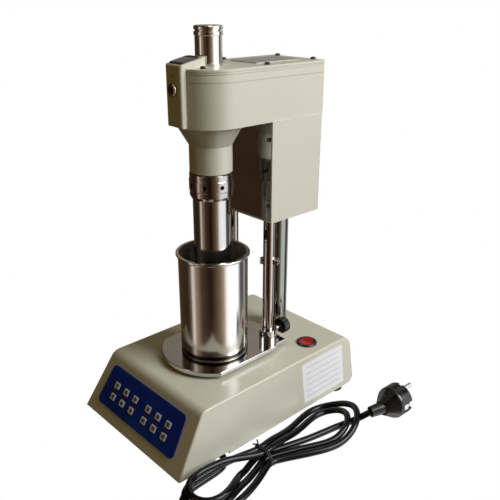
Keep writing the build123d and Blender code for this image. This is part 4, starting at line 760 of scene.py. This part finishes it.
def floor_paper():
    s = Shader("floor_paper")
    white = s.node("ShaderNodeEmission")
    white.inputs["Color"].default_value = (*WHITE, 1.0)
    paper = s.node("ShaderNodeBsdfDiffuse")
    tone = s.mix(s.spread(s.noise(12.0), 0, 1), (0.14, 0.11, 0.07), (0.17, 0.13, 0.085))
    s.link(tone, paper, "Color")
    choose = s.node("ShaderNodeMixShader")
    s.link(s.node("ShaderNodeLightPath").outputs["Is Camera Ray"], choose, 0)
    s.link(paper.outputs[0], choose, 1)
    s.link(white.outputs[0], choose, 2)
    s.link(choose.outputs[0], s.tree.nodes["Material Output"], "Surface")
    return s.material


floor_mesh = bpy.data.meshes.new("floor")
floor_grid = bmesh.new()
bmesh.ops.create_grid(floor_grid, x_segments=8, y_segments=8, size=FLOOR_HALF)
floor_grid.to_mesh(floor_mesh)
floor_grid.free()
floor_mesh.materials.append(floor_paper())
floor = add("floor", floor_mesh)
floor.location = mm(0, 0, -FLOOR_DROP)
floor.visible_glossy = False

# what polished metal sees round the room, by compass angle from +X towards +Y
ROOM = (
    (-180, (0.05, 0.03, 0.015)), (-132, (0.035, 0.020, 0.010)), (-120, (0.12, 0.09, 0.07)),
    (-111, (0.85, 0.78, 0.70)), (-99, (0.30, 0.22, 0.15)), (-76, (0.06, 0.038, 0.024)),
    (-46, (0.022, 0.010, 0.006)), (-34, (0.07, 0.045, 0.028)), (-20, (0.17, 0.12, 0.07)),
    (-7, (0.36, 0.29, 0.20)), (6, (1.2, 1.18, 1.15)), (18, (1.45, 1.5, 1.55)),
    (46, (1.4, 1.45, 1.5)), (60, (0.09, 0.09, 0.09)), (74, (0.10, 0.10, 0.10)),
    (92, (0.62, 0.60, 0.57)), (125, (0.28, 0.25, 0.20)), (180, (0.05, 0.03, 0.015)),
)


ROOM_GAIN = (1.25, 1.25, 1.28)
AMBIENT = (0.120, 0.084, 0.018)


def room_colour(sky):
    """Colour of the room in the ray's direction."""
    ramp = sky.node("ShaderNodeValToRGB")
    ramp.color_ramp.interpolation = "EASE"
    stops = ramp.color_ramp.elements
    stops[0].color = (*ROOM[0][1], 1.0)
    stops[1].color = (*ROOM[-1][1], 1.0)
    for angle, colour in ROOM[1:-1]:
        stops.new((angle + 180) / 360).color = (*colour, 1.0)
    turn = sky.math("ARCTAN2", sky.place("Y"), sky.place("X"))
    sky.link(sky.spread(turn, 0.0, 1.0, -math.pi, math.pi), ramp, "Fac")
    return sky.mix(1.0, ramp.outputs["Color"], ROOM_GAIN, "MULTIPLY")


world = bpy.data.worlds.new("studio")
world.use_nodes = True
world.node_tree.nodes.clear()
bpy.context.scene.world = world
sky = Nodes(world.node_tree, "Generated")
rays = sky.node("ShaderNodeLightPath")
lit = sky.mix(rays.outputs["Is Glossy Ray"], AMBIENT, room_colour(sky))
ground = sky.node("ShaderNodeBackground")
sky.link(sky.mix(rays.outputs["Is Camera Ray"], lit, WHITE), ground, "Color")
sky.link(ground.outputs[0], sky.node("ShaderNodeOutputWorld"), "Surface")

LAMP_AIM = mm(0, 0, 200)


def area_light(name, angle, rise, distance, size, power, colour):
    """A lamp at a compass angle and a rise in degrees, metres away from its aim."""
    data = bpy.data.lights.new(name, "AREA")
    data.shape = "RECTANGLE"
    data.size, data.size_y = size
    data.energy = power
    data.color = colour
    lamp = add(name, data)
    a, r = math.radians(angle), math.radians(rise)
    direction = Vector((math.cos(a) * math.cos(r), math.sin(a) * math.cos(r), math.sin(r)))
    lamp.location = LAMP_AIM + direction * distance
    lamp.rotation_mode = "QUATERNION"
    lamp.rotation_quaternion = direction.to_track_quat("Z", "Y")


area_light("window", 26, 34, 1.7, (0.9, 1.1), 30.0, (1.0, 1.0, 0.985))
area_light("ceiling", 60, 72, 1.6, (1.0, 1.0), 1.2, (1.0, 0.97, 0.90))
bpy.context.scene.view_settings.view_transform = "Standard"
